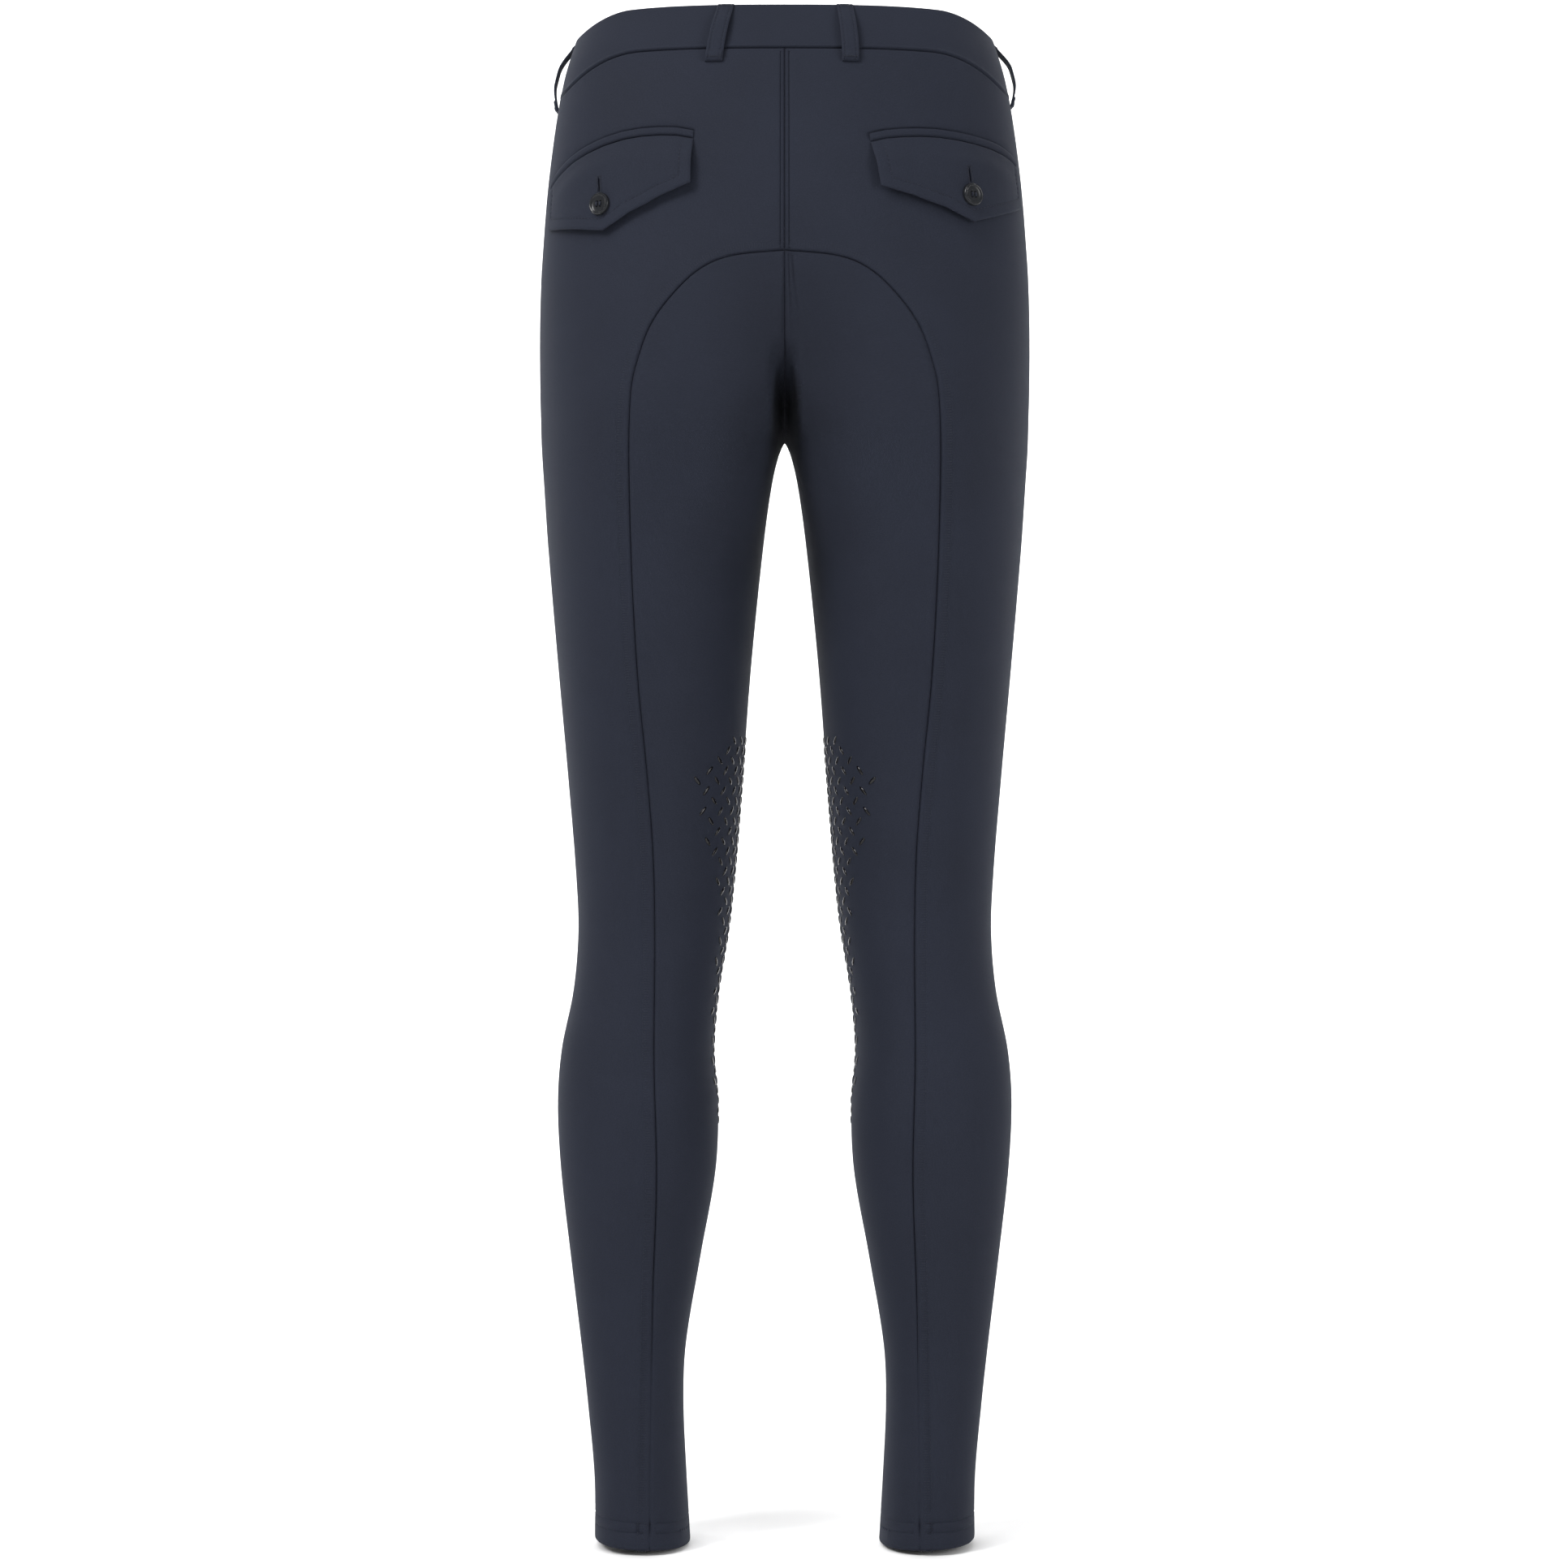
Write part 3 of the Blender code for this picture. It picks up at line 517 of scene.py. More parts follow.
def seam_in(pattern, table, behind, shift, step):
    """A curved seam in a panel's pattern, moved aside, from the middle of the body to the hem."""
    line = []
    for point in curve_through(table, step):
        angle = angle_at(point.x, point.y, behind)
        if not behind and pattern.middle > QUARTER:
            angle += TURN
        if point.y > hem_line(angle) + step / 2:
            line.append(pattern.flat(angle, point.y))
    angle = angle_at(table[-1].across * MM, HEM, behind)
    angle += TURN if not behind and pattern.middle > QUARTER else 0
    line.append(pattern.flat(angle, hem_line(angle)))
    moved = moved_aside(line, shift)
    along = (line[1] - line[0]).normalized()
    higher = centre_point(pattern, line[0].y + 1 * MM, behind) - line[0]
    rise = shift / higher.dot(Vector((-along.y, along.x))) * 1 * MM
    moved[0] = centre_point(pattern, line[0].y + rise, behind)
    return moved


def centre_point(pattern, height, behind):
    """The flat point at a height on the edge at the middle of the body."""
    angle = angle_at(0.0, height, behind)
    if not behind and pattern.middle > QUARTER:
        angle += TURN
    return pattern.flat(angle, height)


def centre_edge(pattern, top, bottom, behind, step):
    """The edge on the middle of the body, from one height down to another."""
    steps = max(2, round((top - bottom) / step))
    heights = [top + (bottom - top) * k / steps for k in range(steps + 1)]
    return [centre_point(pattern, height, behind) for height in heights]


def fork_edge(pattern, back_top, front_top, step):
    """The edge under the crotch: down the middle of the back, round, and up the middle of the
    front. Its points crowd towards the crotch, where the edge runs level."""
    line = []
    for top, behind in ((back_top, True), (front_top, False)):
        steps = round(1.6 * (top - CROTCH) / step)
        part = []
        for k in range(steps + 1):
            height = CROTCH + (top - CROTCH) * (k / steps) ** 2
            part.append(centre_point(pattern, height, behind))
        line += part[::-1] if behind else part[1:]
    return resampled(line, step)


def level_edge(pattern, from_angle, to_angle, line_height, step):
    """An edge that runs round the body at line_height(angle), such as the waist seam or the hem."""
    size = abs(to_angle - from_angle) * girth(line_height(from_angle))
    steps = max(2, round(size / step))
    line = []
    for k in range(steps + 1):
        angle = from_angle + (to_angle - from_angle) * k / steps
        line.append(pattern.flat(angle, line_height(angle)))
    return line


def straight_edge(pattern, angle, top, bottom, step):
    """An edge that runs down the leg at one angle."""
    steps = round((top - bottom) / step)
    line = []
    for k in range(steps + 1):
        height = top + (bottom - top) * k / steps
        line.append(pattern.flat(angle, height))
    return line


def closed(*edges):
    """One outline from edges that follow each other, with their shared corners once."""
    outline = []
    for edge in edges:
        for point in edge:
            if not outline or (point - outline[-1]).length > SEAM_GAP:
                outline.append(point)
    while (outline[-1] - outline[0]).length <= SEAM_GAP:
        outline.pop()
    return outline


def placed(points, pocket):
    """Flat points of a pocket's piece, turned and moved to their place on the back panel."""
    turn = Matrix.Rotation(math.radians(pocket.turn), 2)
    turned = [turn @ Vector(p) + Vector((pocket.toward_side, pocket.up)) for p in points]
    return [Vector((-p.x, p.y)) * MM for p in turned]


# ---- Sheets: a flat outline filled with a grid of points ----


Sheet = namedtuple("Sheet", "pattern points triangles outline")
ONLY_INSIDE = 1  # the fill's choice of faces: those inside the outline
SAME_PLACE = 1e-7
CLEAR_OF_LINES = 0.55  # share of the grid that its points keep away from the rows
CLEAR_OF_POINTS = 0.05 * MM


def inside(outline, point):
    """Whether a flat point lies in an outline."""
    found = False
    for a, b in zip(outline, outline[1:] + outline[:1]):
        if (a.y > point.y) != (b.y > point.y):
            if point.x < a.x + (b.x - a.x) * (point.y - a.y) / (b.y - a.y):
                found = not found
    return found


def distances(points, lines):
    """Distance from each flat point to the nearest of some polylines."""
    starts = np.array([p.to_tuple() for line in lines for p in line[:-1]])
    ends = np.array([p.to_tuple() for line in lines for p in line[1:]])
    along = ends - starts
    squared = np.maximum((along**2).sum(1), 1e-14)
    found = []
    for first in range(0, len(points), 500):
        spots = np.array([p.to_tuple() for p in points[first : first + 500]])[:, None]
        t = np.clip(((spots - starts) * along).sum(2) / squared, 0, 1)
        nearest = starts + along * t[..., None]
        found += list(np.linalg.norm(spots - nearest, axis=2).min(1))
    return found


def filled(outline, lines, grid):
    """Flat points inside an outline, in rows, that keep clear of some lines."""
    top = max(p.y for p in outline)
    bottom = min(p.y for p in outline)
    rows = max(2, round((top - bottom) / grid))
    points = []
    for row in range(1, rows):
        height = top + (bottom - top) * row / rows
        crossings = sorted(
            a.x + (b.x - a.x) * (height - a.y) / (b.y - a.y)
            for a, b in zip(outline, outline[1:] + outline[:1])
            if (a.y > height) != (b.y > height)
        )
        for left, right in zip(crossings[::2], crossings[1::2]):
            count = round((right - left) / grid)
            for k in range(1, count):
                points.append(Vector((left + (right - left) * k / count, height)))
    if not points:
        return points
    clear = CLEAR_OF_LINES * grid
    return [p for p, far in zip(points, distances(points, lines)) if far > clear]


def ring_edges(rings):
    """The points of some closed lines, and the pairs of points that are their edges."""
    corners, edges = [], []
    for ring in rings:
        first = len(corners)
        corners += ring
        edges += [(first + k, first + (k + 1) % len(ring)) for k in range(len(ring))]
    return corners, edges


def triangulated(points, edges):
    """Points and triangles of the flat area inside some closed lines of edges."""
    points, _, faces, *_ = delaunay_2d_cdt(points, edges, [], ONLY_INSIDE, SAME_PLACE)
    return points, faces


def cut(pattern, outline, grid, insets, loose=(), holes=()):
    """A sheet: an outline filled with triangles, with rows of points beside its edge and along the
    loose lines, and with holes."""
    rings = [outline, *(inset(outline, distance) for distance in insets), *holes]
    corners, edges = ring_edges(rings)
    lines = [*(ring + ring[:1] for ring in rings), *loose]
    fill = filled(outline, lines, grid)
    for line in loose:
        fill += apart(line, [*corners, *fill])
    points, faces = triangulated([*corners, *fill], edges)
    kept = [f for f in faces if not any(inside(hole, middle_of(points, f)) for hole in holes)]
    used = sorted({i for face in kept for i in face})
    new = {old: k for k, old in enumerate(used)}
    triangles = [tuple(new[i] for i in face) for face in kept]
    return Sheet(pattern, [points[i] for i in used], triangles, outline)


def apart(line, taken):
    """The points of a line that don't fall on points already taken."""
    spots = np.array([tuple(p) for p in taken])
    return [p for p in line if np.hypot(*(spots - tuple(p)).T).min() > CLEAR_OF_POINTS]


def middle_of(points, face):
    """The middle of a face's corners."""
    return sum((points[i] for i in face), Vector((0, 0))) / len(face)


# ---- Meshes ----


def mirrored(points):
    """The points of the wearer's right side, moved to their left side."""
    return [Vector((-p.x, p.y, p.z)) for p in points]


def walled(outer, inner, faces):
    """Points and faces of a closed wall between two layers of points with the same faces."""
    count = len(outer)
    edges = {(a, b) for f in faces for a, b in zip(f, f[1:] + f[:1])}
    rim = [(b, a, a + count, b + count) for a, b in sorted(edges) if (b, a) not in edges]
    back = [tuple(i + count for i in f[::-1]) for f in faces]
    return [*outer, *inner], [*faces, *back, *rim]


def new_object(name, data):
    """An object of the scene with this mesh, curve, light or camera."""
    made = bpy.data.objects.new(name, data)
    bpy.context.scene.collection.objects.link(made)
    return made


def shaded(name, points, faces, material, sharp=50):
    """A mesh object, smooth but for the edges sharper than an angle in degrees."""
    mesh = bpy.data.meshes.new(name)
    mesh.from_pydata(points, [], faces)
    mesh.shade_smooth()
    mesh.set_sharp_from_angle(angle=math.radians(sharp))
    mesh.materials.append(material)
    return new_object(name, mesh)


def cloth_wall(name, outer, inner, faces, flat, near_seam):
    """Cloth from its two layers of points, in the right side's place. Flat holds the pattern
    coordinates for the weave, and near_seam is 1 at a seam and 0 away from it."""
    left = name.endswith("left")
    if left:
        outer, inner = mirrored(outer), mirrored(inner)
    turned = faces if left else [f[::-1] for f in faces]
    made = shaded(name, *walled(outer, inner, turned), finish("cloth"))
    mesh = made.data
    weave = mesh.uv_layers.new(name="pattern")
    spots = [(-p[0] if left else p[0], p[1]) for p in flat] * 2
    corners = [spots[loop.vertex_index] for loop in mesh.loops]
    weave.data.foreach_set("uv", np.array(corners, np.float32).ravel())
    pucker = mesh.attributes.new("near_seam", "FLOAT", "POINT")
    pucker.data.foreach_set("value", np.array([*near_seam, *near_seam], np.float32))
    return made


def level_outward(angle, on_skin):
    """The way out of the cloth, turned into the body's middle plane beside it, where the left and
    right pieces meet."""
    away = outward(angle, on_skin.z)
    middle = 1 - fade(on_skin.x, 0.0, MIDDLE_REACH)
    straight = Vector((0, away.y, away.z - abs(away.x))).normalized()
    return away.lerp(straight, middle).normalized()


def raised(angle, height, lift=0.0):
    """A point a lift above the right side's cloth, and the way out of the cloth there."""
    away = outward(angle, height)
    return skin(angle, height) + away * lift, away


def joined(point):
    """A point, moved onto the body's middle plane where it lies against it."""
    return Vector((0, point.y, point.z)) if abs(point.x) < SEAM_GAP else point


def sheet_wall(name, sheet, outer_lift, inner_lift, near_seam):
    """A sheet of the skin as a wall, each face as far off the skin as its lifts say."""
    outer, inner = [], []
    for point, out, under in zip(sheet.points, outer_lift, inner_lift):
        angle = sheet.pattern.angle(point)
        on_skin = skin(angle, point.y)
        away = level_outward(angle, on_skin)
        outer.append(joined(on_skin + away * out))
        inner.append(joined(on_skin + away * under))
    flat = [p.to_tuple() for p in sheet.points]
    return cloth_wall(name, outer, inner, sheet.triangles, flat, near_seam)


def grid_faces(rows, columns):
    """Quads of a grid of points, row by row, each turned as the flat pattern is."""
    faces = []
    for row in range(rows - 1):
        for a in range(row * columns, row * columns + columns - 1):
            faces.append((a, a + columns, a + columns + 1, a + 1))
    return faces


def dress(piece, node):
    """Hides the piece's solid, if there is one, and puts the piece with the garment's one body."""
    if node:
        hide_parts(node)
    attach(piece, "root")
    return piece


# ---- Panels ----


def front_panel(grid):
    """Outline of a front, and its seams."""
    pattern = FRONT_PATTERN
    side = straight_edge(pattern, 0.0, waist_seam(0), hem_line(0), grid)
    centre = angle_at(0.0, waist_seam(-QUARTER), False)
    waist = level_edge(pattern, centre, 0.0, waist_seam, grid)
    seam = seam_in(pattern, FRONT_SEAM, False, 0.0, grid)
    middle = centre_edge(pattern, waist[0].y, seam[0].y, False, grid)
    hem = level_edge(pattern, pattern.angle(seam[-1]), 0.0, hem_line, grid)
    outline = closed(side, hem[::-1], seam[::-1], middle[::-1], waist)
    return pattern, outline, [side, seam, middle, waist], hem, None


def back_panel(grid):
    """Outline of a back, from the side seam to the seat seam, and its seams."""
    pattern = BACK_PATTERN
    side = straight_edge(pattern, 0.0, waist_seam(0), hem_line(0), grid)
    centre = angle_at(0.0, waist_seam(QUARTER))
    waist = level_edge(pattern, centre, 0.0, waist_seam, grid)
    seam = seam_in(pattern, SEAT_SEAM, True, 0.0, grid)
    middle = centre_edge(pattern, waist[0].y, seam[0].y, True, grid)
    hem = level_edge(pattern, pattern.angle(seam[-1]), 0.0, hem_line, grid)
    outline = closed(side, hem[::-1], seam[::-1], middle[::-1], waist)
    return pattern, outline, [side, seam, middle, waist], hem, middle


FORK_TURN = 0.1  # the middle seam's stitches end this angle before the inside of the leg


def seat_and_leg_panel(grid):
    """Outline of a seat and inner leg, and its seams."""
    pattern = SEAT_AND_LEG_PATTERN
    back_seam = seam_in(pattern, SEAT_SEAM, True, 0.0, grid)
    front_seam = seam_in(pattern, FRONT_SEAM, False, 0.0, grid)
    fork = fork_edge(pattern, back_seam[0].y, front_seam[0].y, grid)
    ends = pattern.angle(back_seam[-1]), pattern.angle(front_seam[-1])
    hem = level_edge(pattern, *ends, hem_line, grid)
    outline = closed(back_seam, hem, front_seam[::-1], fork[::-1])
    behind = [point for point in fork if pattern.angle(point) < HALF - FORK_TURN]
    return pattern, outline, [back_seam, front_seam, fork], hem, behind


HEM_ROW_STEP = 4 * MM


def hem_rows(pattern, hem):
    """Rows of points along and beside the hem's two stitch lines."""
    ends = pattern.angle(hem[1]), pattern.angle(hem[-2])
    rows = []
    for line in HEM_LINES:
        for aside in (-STITCH_ROUND, 0, STITCH_ROUND):
            height = line + aside
            rows.append(level_edge(pattern, *ends, lambda a: hem_line(a) + height, HEM_ROW_STEP))
    return rows


def rows_beside(outline, line, outs):
    """Rows of points at some distances from a line, on the side of it that is inside an outline."""
    rows = []
    for out in outs:
        aside = [moved_aside(line, way * out) for way in (-1, 1)]
        rows += [[p for p in row[1:-1] if inside(outline, p)] for row in aside]
    return [row for row in rows if len(row) > 2]


def fell_rows(outline, middle, grooves):
    """Rows of points along and beside the stitches of the centre back seam's fold."""
    lines = sorted({*grooves["left"], *grooves["right"]})
    outs = [lines[0] - GROOVE_ROW, *lines, lines[-1] + GROOVE_ROW]
    outs += [lines[-1] + FELL_EDGE_ROW, FELL_LAST_ROW]
    if len(lines) > 1 and lines[1] - lines[0] > 2 * GROOVE_ROW:
        outs.append((lines[0] + lines[1]) / 2)
    return rows_beside(outline, subdivided(middle, ROW_STEP), sorted(outs))


def fell_lift(far, height, lines):
    """The fold beside the centre back seam: it stands up, and is drawn in at its stitches. It runs
    out above the crotch."""
    up = FELL_RISE * fade(far, *FELL_RISES) * (1 - fade(far, *FELL_FALLS))
    drawn_in = sum(FELL_SINK * dip(far - line, GROOVE_ROUND) for line in lines)
    return (up - drawn_in) * fade(height, *FELL_RUNS_OUT)


def panel_lifts(sheet, seams, fell=None, stitched=(), welt=None):
    """How far a panel's two faces stand off the skin at each point, and how near a seam is. Seams
    draw the cloth in, hem stitches press it down, and the hem's edge is round."""
    outer, inner, near = [], [], []
    none = [math.inf] * len(sheet.points)
    to_seam = distances(sheet.points, seams)
    to_curve = distances(sheet.points, [seams[1 if welt else 0]])
    to_fell = distances(sheet.points, [fell]) if stitched else none
    to_welt = distances(sheet.points, [welt]) if welt else none
    dents = (0.0, COVER_ROWS[1]) if welt else (0.0,)
    for k, (point, far) in enumerate(zip(sheet.points, to_seam)):
        above = point.y - hem_line(sheet.pattern.angle(point))
        sink = SEAM_SINK * dip(far, SEAM_ROUND, 3)
        sink *= 1 - SEAM_FLATTER * fade(point.y, *SEAM_FLATTENS)
        face = SEAM_RISE * swell(far - SEAM_RISE_OUT, SEAM_RISE_REACH) - sink
        if to_fell[k] < FELL_REACH:
            face += fell_lift(to_fell[k], point.y, stitched)
        face -= WELT_GROOVE * dip(to_welt[k], WELT_GROOVE_WIDTH)
        for line in HEM_LINES:
            face -= HEM_SINK * swell(above - line, STITCH_ROUND)
        dented = 1 - fade(abs(above - sum(HEM_LINES) / 2), *DENT_FADES)
        for dent in dents:
            face -= DENT_SINK * dented * swell(to_curve[k] - dent, GROOVE_ROUND)
        turned_up = fade(above, HEM_TURN_UP, HEM_TURN_UP - HEM_STEP)
        thick = CLOTH + (HEM_CLOTH - CLOTH) * turned_up
        rounding = HEM_ROUNDING * thick * (1 - fade(above, 0.0, EDGE_ROUND))
        outer.append(face - rounding)
        inner.append(rounding - thick - SEAM_SINK_INSIDE * sink)
        near.append(1 - eased(far / PUCKER_REACH))
    return outer, inner, near


WELT_ROW_STEP = 2 * MM


def make_panel(part, panel):
    """Both sides' pieces of one panel."""
    grid = look().cloth.grid
    pattern, outline, seams, hem, middle = panel(grid)
    rows = hem_rows(pattern, hem)
    grooves = CENTRE_GROOVES.get(part, {"left": (), "right": ()})
    if middle:
        rows += fell_rows(outline, middle, grooves)
    welts = {"left": None, "right": None}
    if part == "back":
        low_seam = [p for p in seams[1] if p.y < HEM + DENT_TOP]
        rows += rows_beside(outline, low_seam, [COVER_ROWS[1] + k * DENT_ROW for k in (-1, 0, 1)])
        for side, pocket in POCKETS.items():
            above = mouth(pocket, WELT_HEIGHT + WELT_GAP)
            welts[side] = subdivided(placed(above, pocket), WELT_ROW_STEP)
            for aside in WELT_GROOVE_ROWS:
                rows.append([p for p in moved_aside(welts[side], aside) if inside(outline, p)])
    sheet = cut(pattern, outline, grid, SEAM_INSETS, rows)
    for side in ("left", "right"):
        lifts = panel_lifts(sheet, seams, middle, grooves[side], welts[side])
        made = dress(sheet_wall(f"cloth_{part}_{side}", sheet, *lifts), f"{part}_{side}")


# ---- Pockets ----


def edge_lifts(sheet, thick, floor, tucked, lines=(), floats=None):
    """Lifts of a piece that lies on a panel, with a round edge, a deeper one where it is tucked in,
    and stitch lines pressed in."""
    outline = sheet.outline
    to_edge = distances(sheet.points, [outline + outline[:1]])
    to_tuck = distances(sheet.points, [tucked])
    to_line = distances(sheet.points, lines) if lines else [math.inf] * len(to_edge)
    outer, inner = [], []
    for point, edge, tuck, line in zip(sheet.points, to_edge, to_tuck, to_line):
        rounding = EDGE_ROUNDING * thick * swell(edge, EDGE_ROUND)
        rounding += MOUTH_ROUNDING * thick * dip(tuck, MOUTH_ROUND)
        pressed = STITCH_SINK * swell(line, STITCH_ROUND)
        under = floor + (floats(point) if floats else 0)
        outer.append(under + thick - rounding - pressed)
        inner.append(under)
    return outer, inner, [SMALL_PUCKER] * len(outer)


def mouth(pocket, above=0.0):
    """The line of a pocket's mouth, or one above it."""
    line = []
    for point in MOUTH:
        out = (point.toward_side - ARCH_MIDDLE) / ARCH_REACH
        arch = pocket.arch * max(0.0, 1 - out**2)
        line.append(FlatPoint(point.toward_side, point.up + arch + above))
    return line


def flap_float(pocket):
    """A function of a flat point: how far the flap stands off the seat there. It is held at its
    mouth and its outer end, and floats most at its inner end."""
    line = placed(mouth(pocket), pocket)

    def floats(point):
        angle = BACK_PATTERN.angle(point)
        share = fade(angle, *FLOAT_STARTS) * (1 + FLOAT_GROWTH * fade(angle, *FLOAT_GROWS))
        return FLAP_FLOAT * share * eased(distances([point], [line])[0] / FLOAT_RUN)

    return floats


def flap_stitch_line(pocket):
    """The topstitching inside the flap's ends and lower edges."""
    free_edge = placed([MOUTH[-1], *FLAP_LOWER, MOUTH[0]], pocket)
    return moved_aside(free_edge, FLAP_STITCHES)


SLIT_CORNERS = (0.15, 0.5, 0.85)  # shares of the way down the buttonhole


def buttonhole(pocket):
    """A narrow slit with pointed ends, from its top down and up again."""
    top, bottom = placed(BUTTONHOLE, pocket)
    along = bottom - top
    aside = Vector((-along.y, along.x)).normalized() * BUTTONHOLE_WIDTH / 2
    down = [top + along * share + aside for share in SLIT_CORNERS]
    up = [top + along * share - aside for share in reversed(SLIT_CORNERS)]
    return [top, *down, bottom, *up]


def fine_ring(outline):
    """A closed outline with more points between its own."""
    return subdivided(outline + outline[:1], ROW_STEP)[:-1]


def make_flap(side, pocket):
    """A pointed pocket flap with its buttonhole."""
    outline = fine_ring(placed(mouth(pocket) + FLAP_LOWER, pocket))
    stitches = subdivided(flap_stitch_line(pocket), ROW_STEP)
    rows = [stitches, *(moved_aside(stitches, aside) for aside in (-STITCH_ROUND, STITCH_ROUND))]
    rows = [[p for p in row if inside(outline, p)][1:-1] for row in rows]
    holes = [buttonhole(pocket)]
    sheet = cut(BACK_PATTERN, outline, FLAP_GRID, EDGE_INSETS, rows, holes)
    tucked = placed(mouth(pocket), pocket)
    lifts = edge_lifts(sheet, FLAP_CLOTH, SEAM_GAP, tucked, [stitches], flap_float(pocket))
    flap = dress(sheet_wall(f"cloth_pocket_flap_{side}", sheet, *lifts), f"pocket_flap_{side}")


def make_welt(side, pocket):
    """The folded strip above a pocket flap."""
    low, high = mouth(pocket, WELT_GAP), mouth(pocket, WELT_HEIGHT)
    outline = fine_ring(placed(low + high[::-1], pocket))
    sheet = cut(BACK_PATTERN, outline, WELT_GRID, EDGE_INSETS)
    lifts = edge_lifts(sheet, WELT_CLOTH, SEAM_GAP, placed(low, pocket))
    welt = dress(sheet_wall(f"cloth_pocket_welt_{side}", sheet, *lifts), f"pocket_welt_{side}")


# ---- Waistband and belt loops ----


def band_lift(angle):
    """How far the band's outer face stands off the skin: its right end steps in under the left."""
    round_it = (angle + QUARTER) * girth(SEAM_SIDE)
    return -(BAND_CLOTH + SEAM_GAP) * (1 - fade(round_it, *LAP_STEP))


# Profile of the band at its top edge and at its seam: (up, drop) in mm
BAND_EDGE = ((0.0, 0.9), (0.3, 0.45), (0.8, 0.12), (1.5, 0.0))
BAND_SEAM = ((0.0, 1.7), (0.4, 1.0), (0.9, 0.35), (1.5, 0.0))
BAND_SEAM_INSIDE, BAND_EDGE_BOTH = 0.2, 1.25  # shares of those drops
BAND_RIDGE_RISES = 1.2 * MM
BAND_RIDGE_FALLS = (1.5 * MM, 3.7 * MM)
BAND_RIDGE_ROWS = (2.2 * MM, 3.2 * MM)
BAND_FLAT = (4.5 * MM, 3 * MM)  # its flat part starts and ends this far from its edges
BAND_FLAT_STEPS = 8


def band_profile(height):
    """Columns up the band: (share of its height, outer drop, inner drop), with round edges and a
    ridge over the seam allowance."""
    columns = []
    for up, drop in BAND_SEAM:
        ridge = BAND_RIDGE * eased(up * MM / BAND_RIDGE_RISES)
        columns.append((up * MM / height, drop * MM - ridge, BAND_SEAM_INSIDE * drop * MM))
    for up in BAND_RIDGE_ROWS:
        columns.append((up / height, -BAND_RIDGE * (1 - fade(up, *BAND_RIDGE_FALLS)), 0.0))
    start, stop = BAND_FLAT[0] / height, 1 - BAND_FLAT[1] / height
    for k in range(BAND_FLAT_STEPS + 1):
        columns.append((start + (stop - start) * k / BAND_FLAT_STEPS, 0.0, 0.0))
    for up, drop in reversed(BAND_EDGE):
        drop *= BAND_EDGE_BOTH * MM
        columns.append((1 - up * MM / height, drop, drop))
    return columns


def make_waistband():
    """One strip round the waist, from its right end under the front lap to its left end over it."""
    per_metre = girth(SEAM_SIDE)
    first = -QUARTER - LAP_UNDER / per_metre
    last = 3 * QUARTER + LAP_OVER / per_metre
    steps = round((last - first) * per_metre / BAND_STEP)
    columns = band_profile(top_line(0) - SEAM_SIDE)
    outer, inner, flat, near = [], [], [], []
    for k in range(steps + 1):
        angle = first + (last - first) * k / steps
        end = min(k, steps - k) * BAND_STEP
        closing = BAND_CLOSING * BAND_CLOTH * swell(end, BAND_CLOSES)
        low, high = waist_seam(angle), top_line(angle)
        for share, drop, rise in columns:
            height = low + (high - low) * share
            on_skin, away = skin(angle, height), outward(angle, height)
            lift = band_lift(angle)
            outer.append(on_skin + away * (lift - drop - closing))
            inner.append(on_skin + away * (lift - BAND_CLOTH + rise + closing))
            flat.append((angle * per_metre, height))
            near.append(1 - eased((height - low) / PUCKER_REACH))
    faces = grid_faces(steps + 1, len(columns))
    band = dress(cloth_wall("cloth_waistband", outer, inner, faces, flat, near), "waistband")


LOOP_RISES = (0.4, 0.6)  # how much of its length a loop takes to stand off, and a power
LOOP_FALLS = (0.42, 0.8)  # the same at its upper end
LOOP_EDGE_ROUND, LOOP_END_ROUND = 1.0 * MM, 1.2 * MM
LOOP_ROUNDING, LOOP_MOST_ROUNDING = 0.45, 0.6  # shares of its thickness: each edge, and in all
# Columns of points across a loop, in shares of half its width, and rows in shares of its length
LOOP_COLUMNS = (
    *(-1, -0.95, -0.86, -0.76, -0.64, -0.5, -0.25, 0),
    *(0.25, 0.5, 0.64, 0.76, 0.86, 0.95, 1),
)
LOOP_ROWS = (
    *(0, 0.008, 0.02, 0.04, 0.07, 0.1, 0.13, 0.145, 0.16),
    *(0.16 + 0.8 * k / 22 for k in range(1, 23)),
    *(0.98, 0.992, 1),
)


def loop_place(loop, t, across):
    """The inner face of a belt loop and the way out of it, a share t of the way up it and a
    distance from its middle. It stands off the band between its sewn ends."""
    bottom = loop.bottom_height * MM
    top_angle = angle_at(loop.top_across * MM, 0.0, loop.behind)
    bottom_angle = angle_at(loop.bottom_across * MM, bottom, loop.behind)
    height = bottom + (top_line(top_angle) - LOOP_TOP_GAP - bottom) * t
    middle = bottom_angle + (top_angle - bottom_angle) * t
    (rise, rise_power), (fall, fall_power) = LOOP_RISES, LOOP_FALLS
    bulge = loop.bulge * MM * eased(t / rise) ** rise_power * eased((1 - t) / fall) ** fall_power
    angle = middle + across / girth(height)
    return raised(angle, height, SEAM_GAP + bulge)


def loop_thickness(t, across):
    """A belt loop is thicker where its lower end is folded under, and has round edges."""
    fold = LOOP_FOLD * fade(t, *LOOP_FOLD_ENDS)
    edge = LOOP_WIDTH / 2 - abs(across)
    end = min(t, 1 - t) * LOOP_MIDDLE_LENGTH
    rounding = LOOP_ROUNDING * (swell(edge, LOOP_EDGE_ROUND) + swell(end, LOOP_END_ROUND))
    pressed = LOOP_STITCH_SINK * swell(abs(across) - LOOP_STITCHES, LOOP_STITCH_ROUND)
    return (LOOP_CLOTH + fold) * (1 - min(rounding, LOOP_MOST_ROUNDING)) - pressed


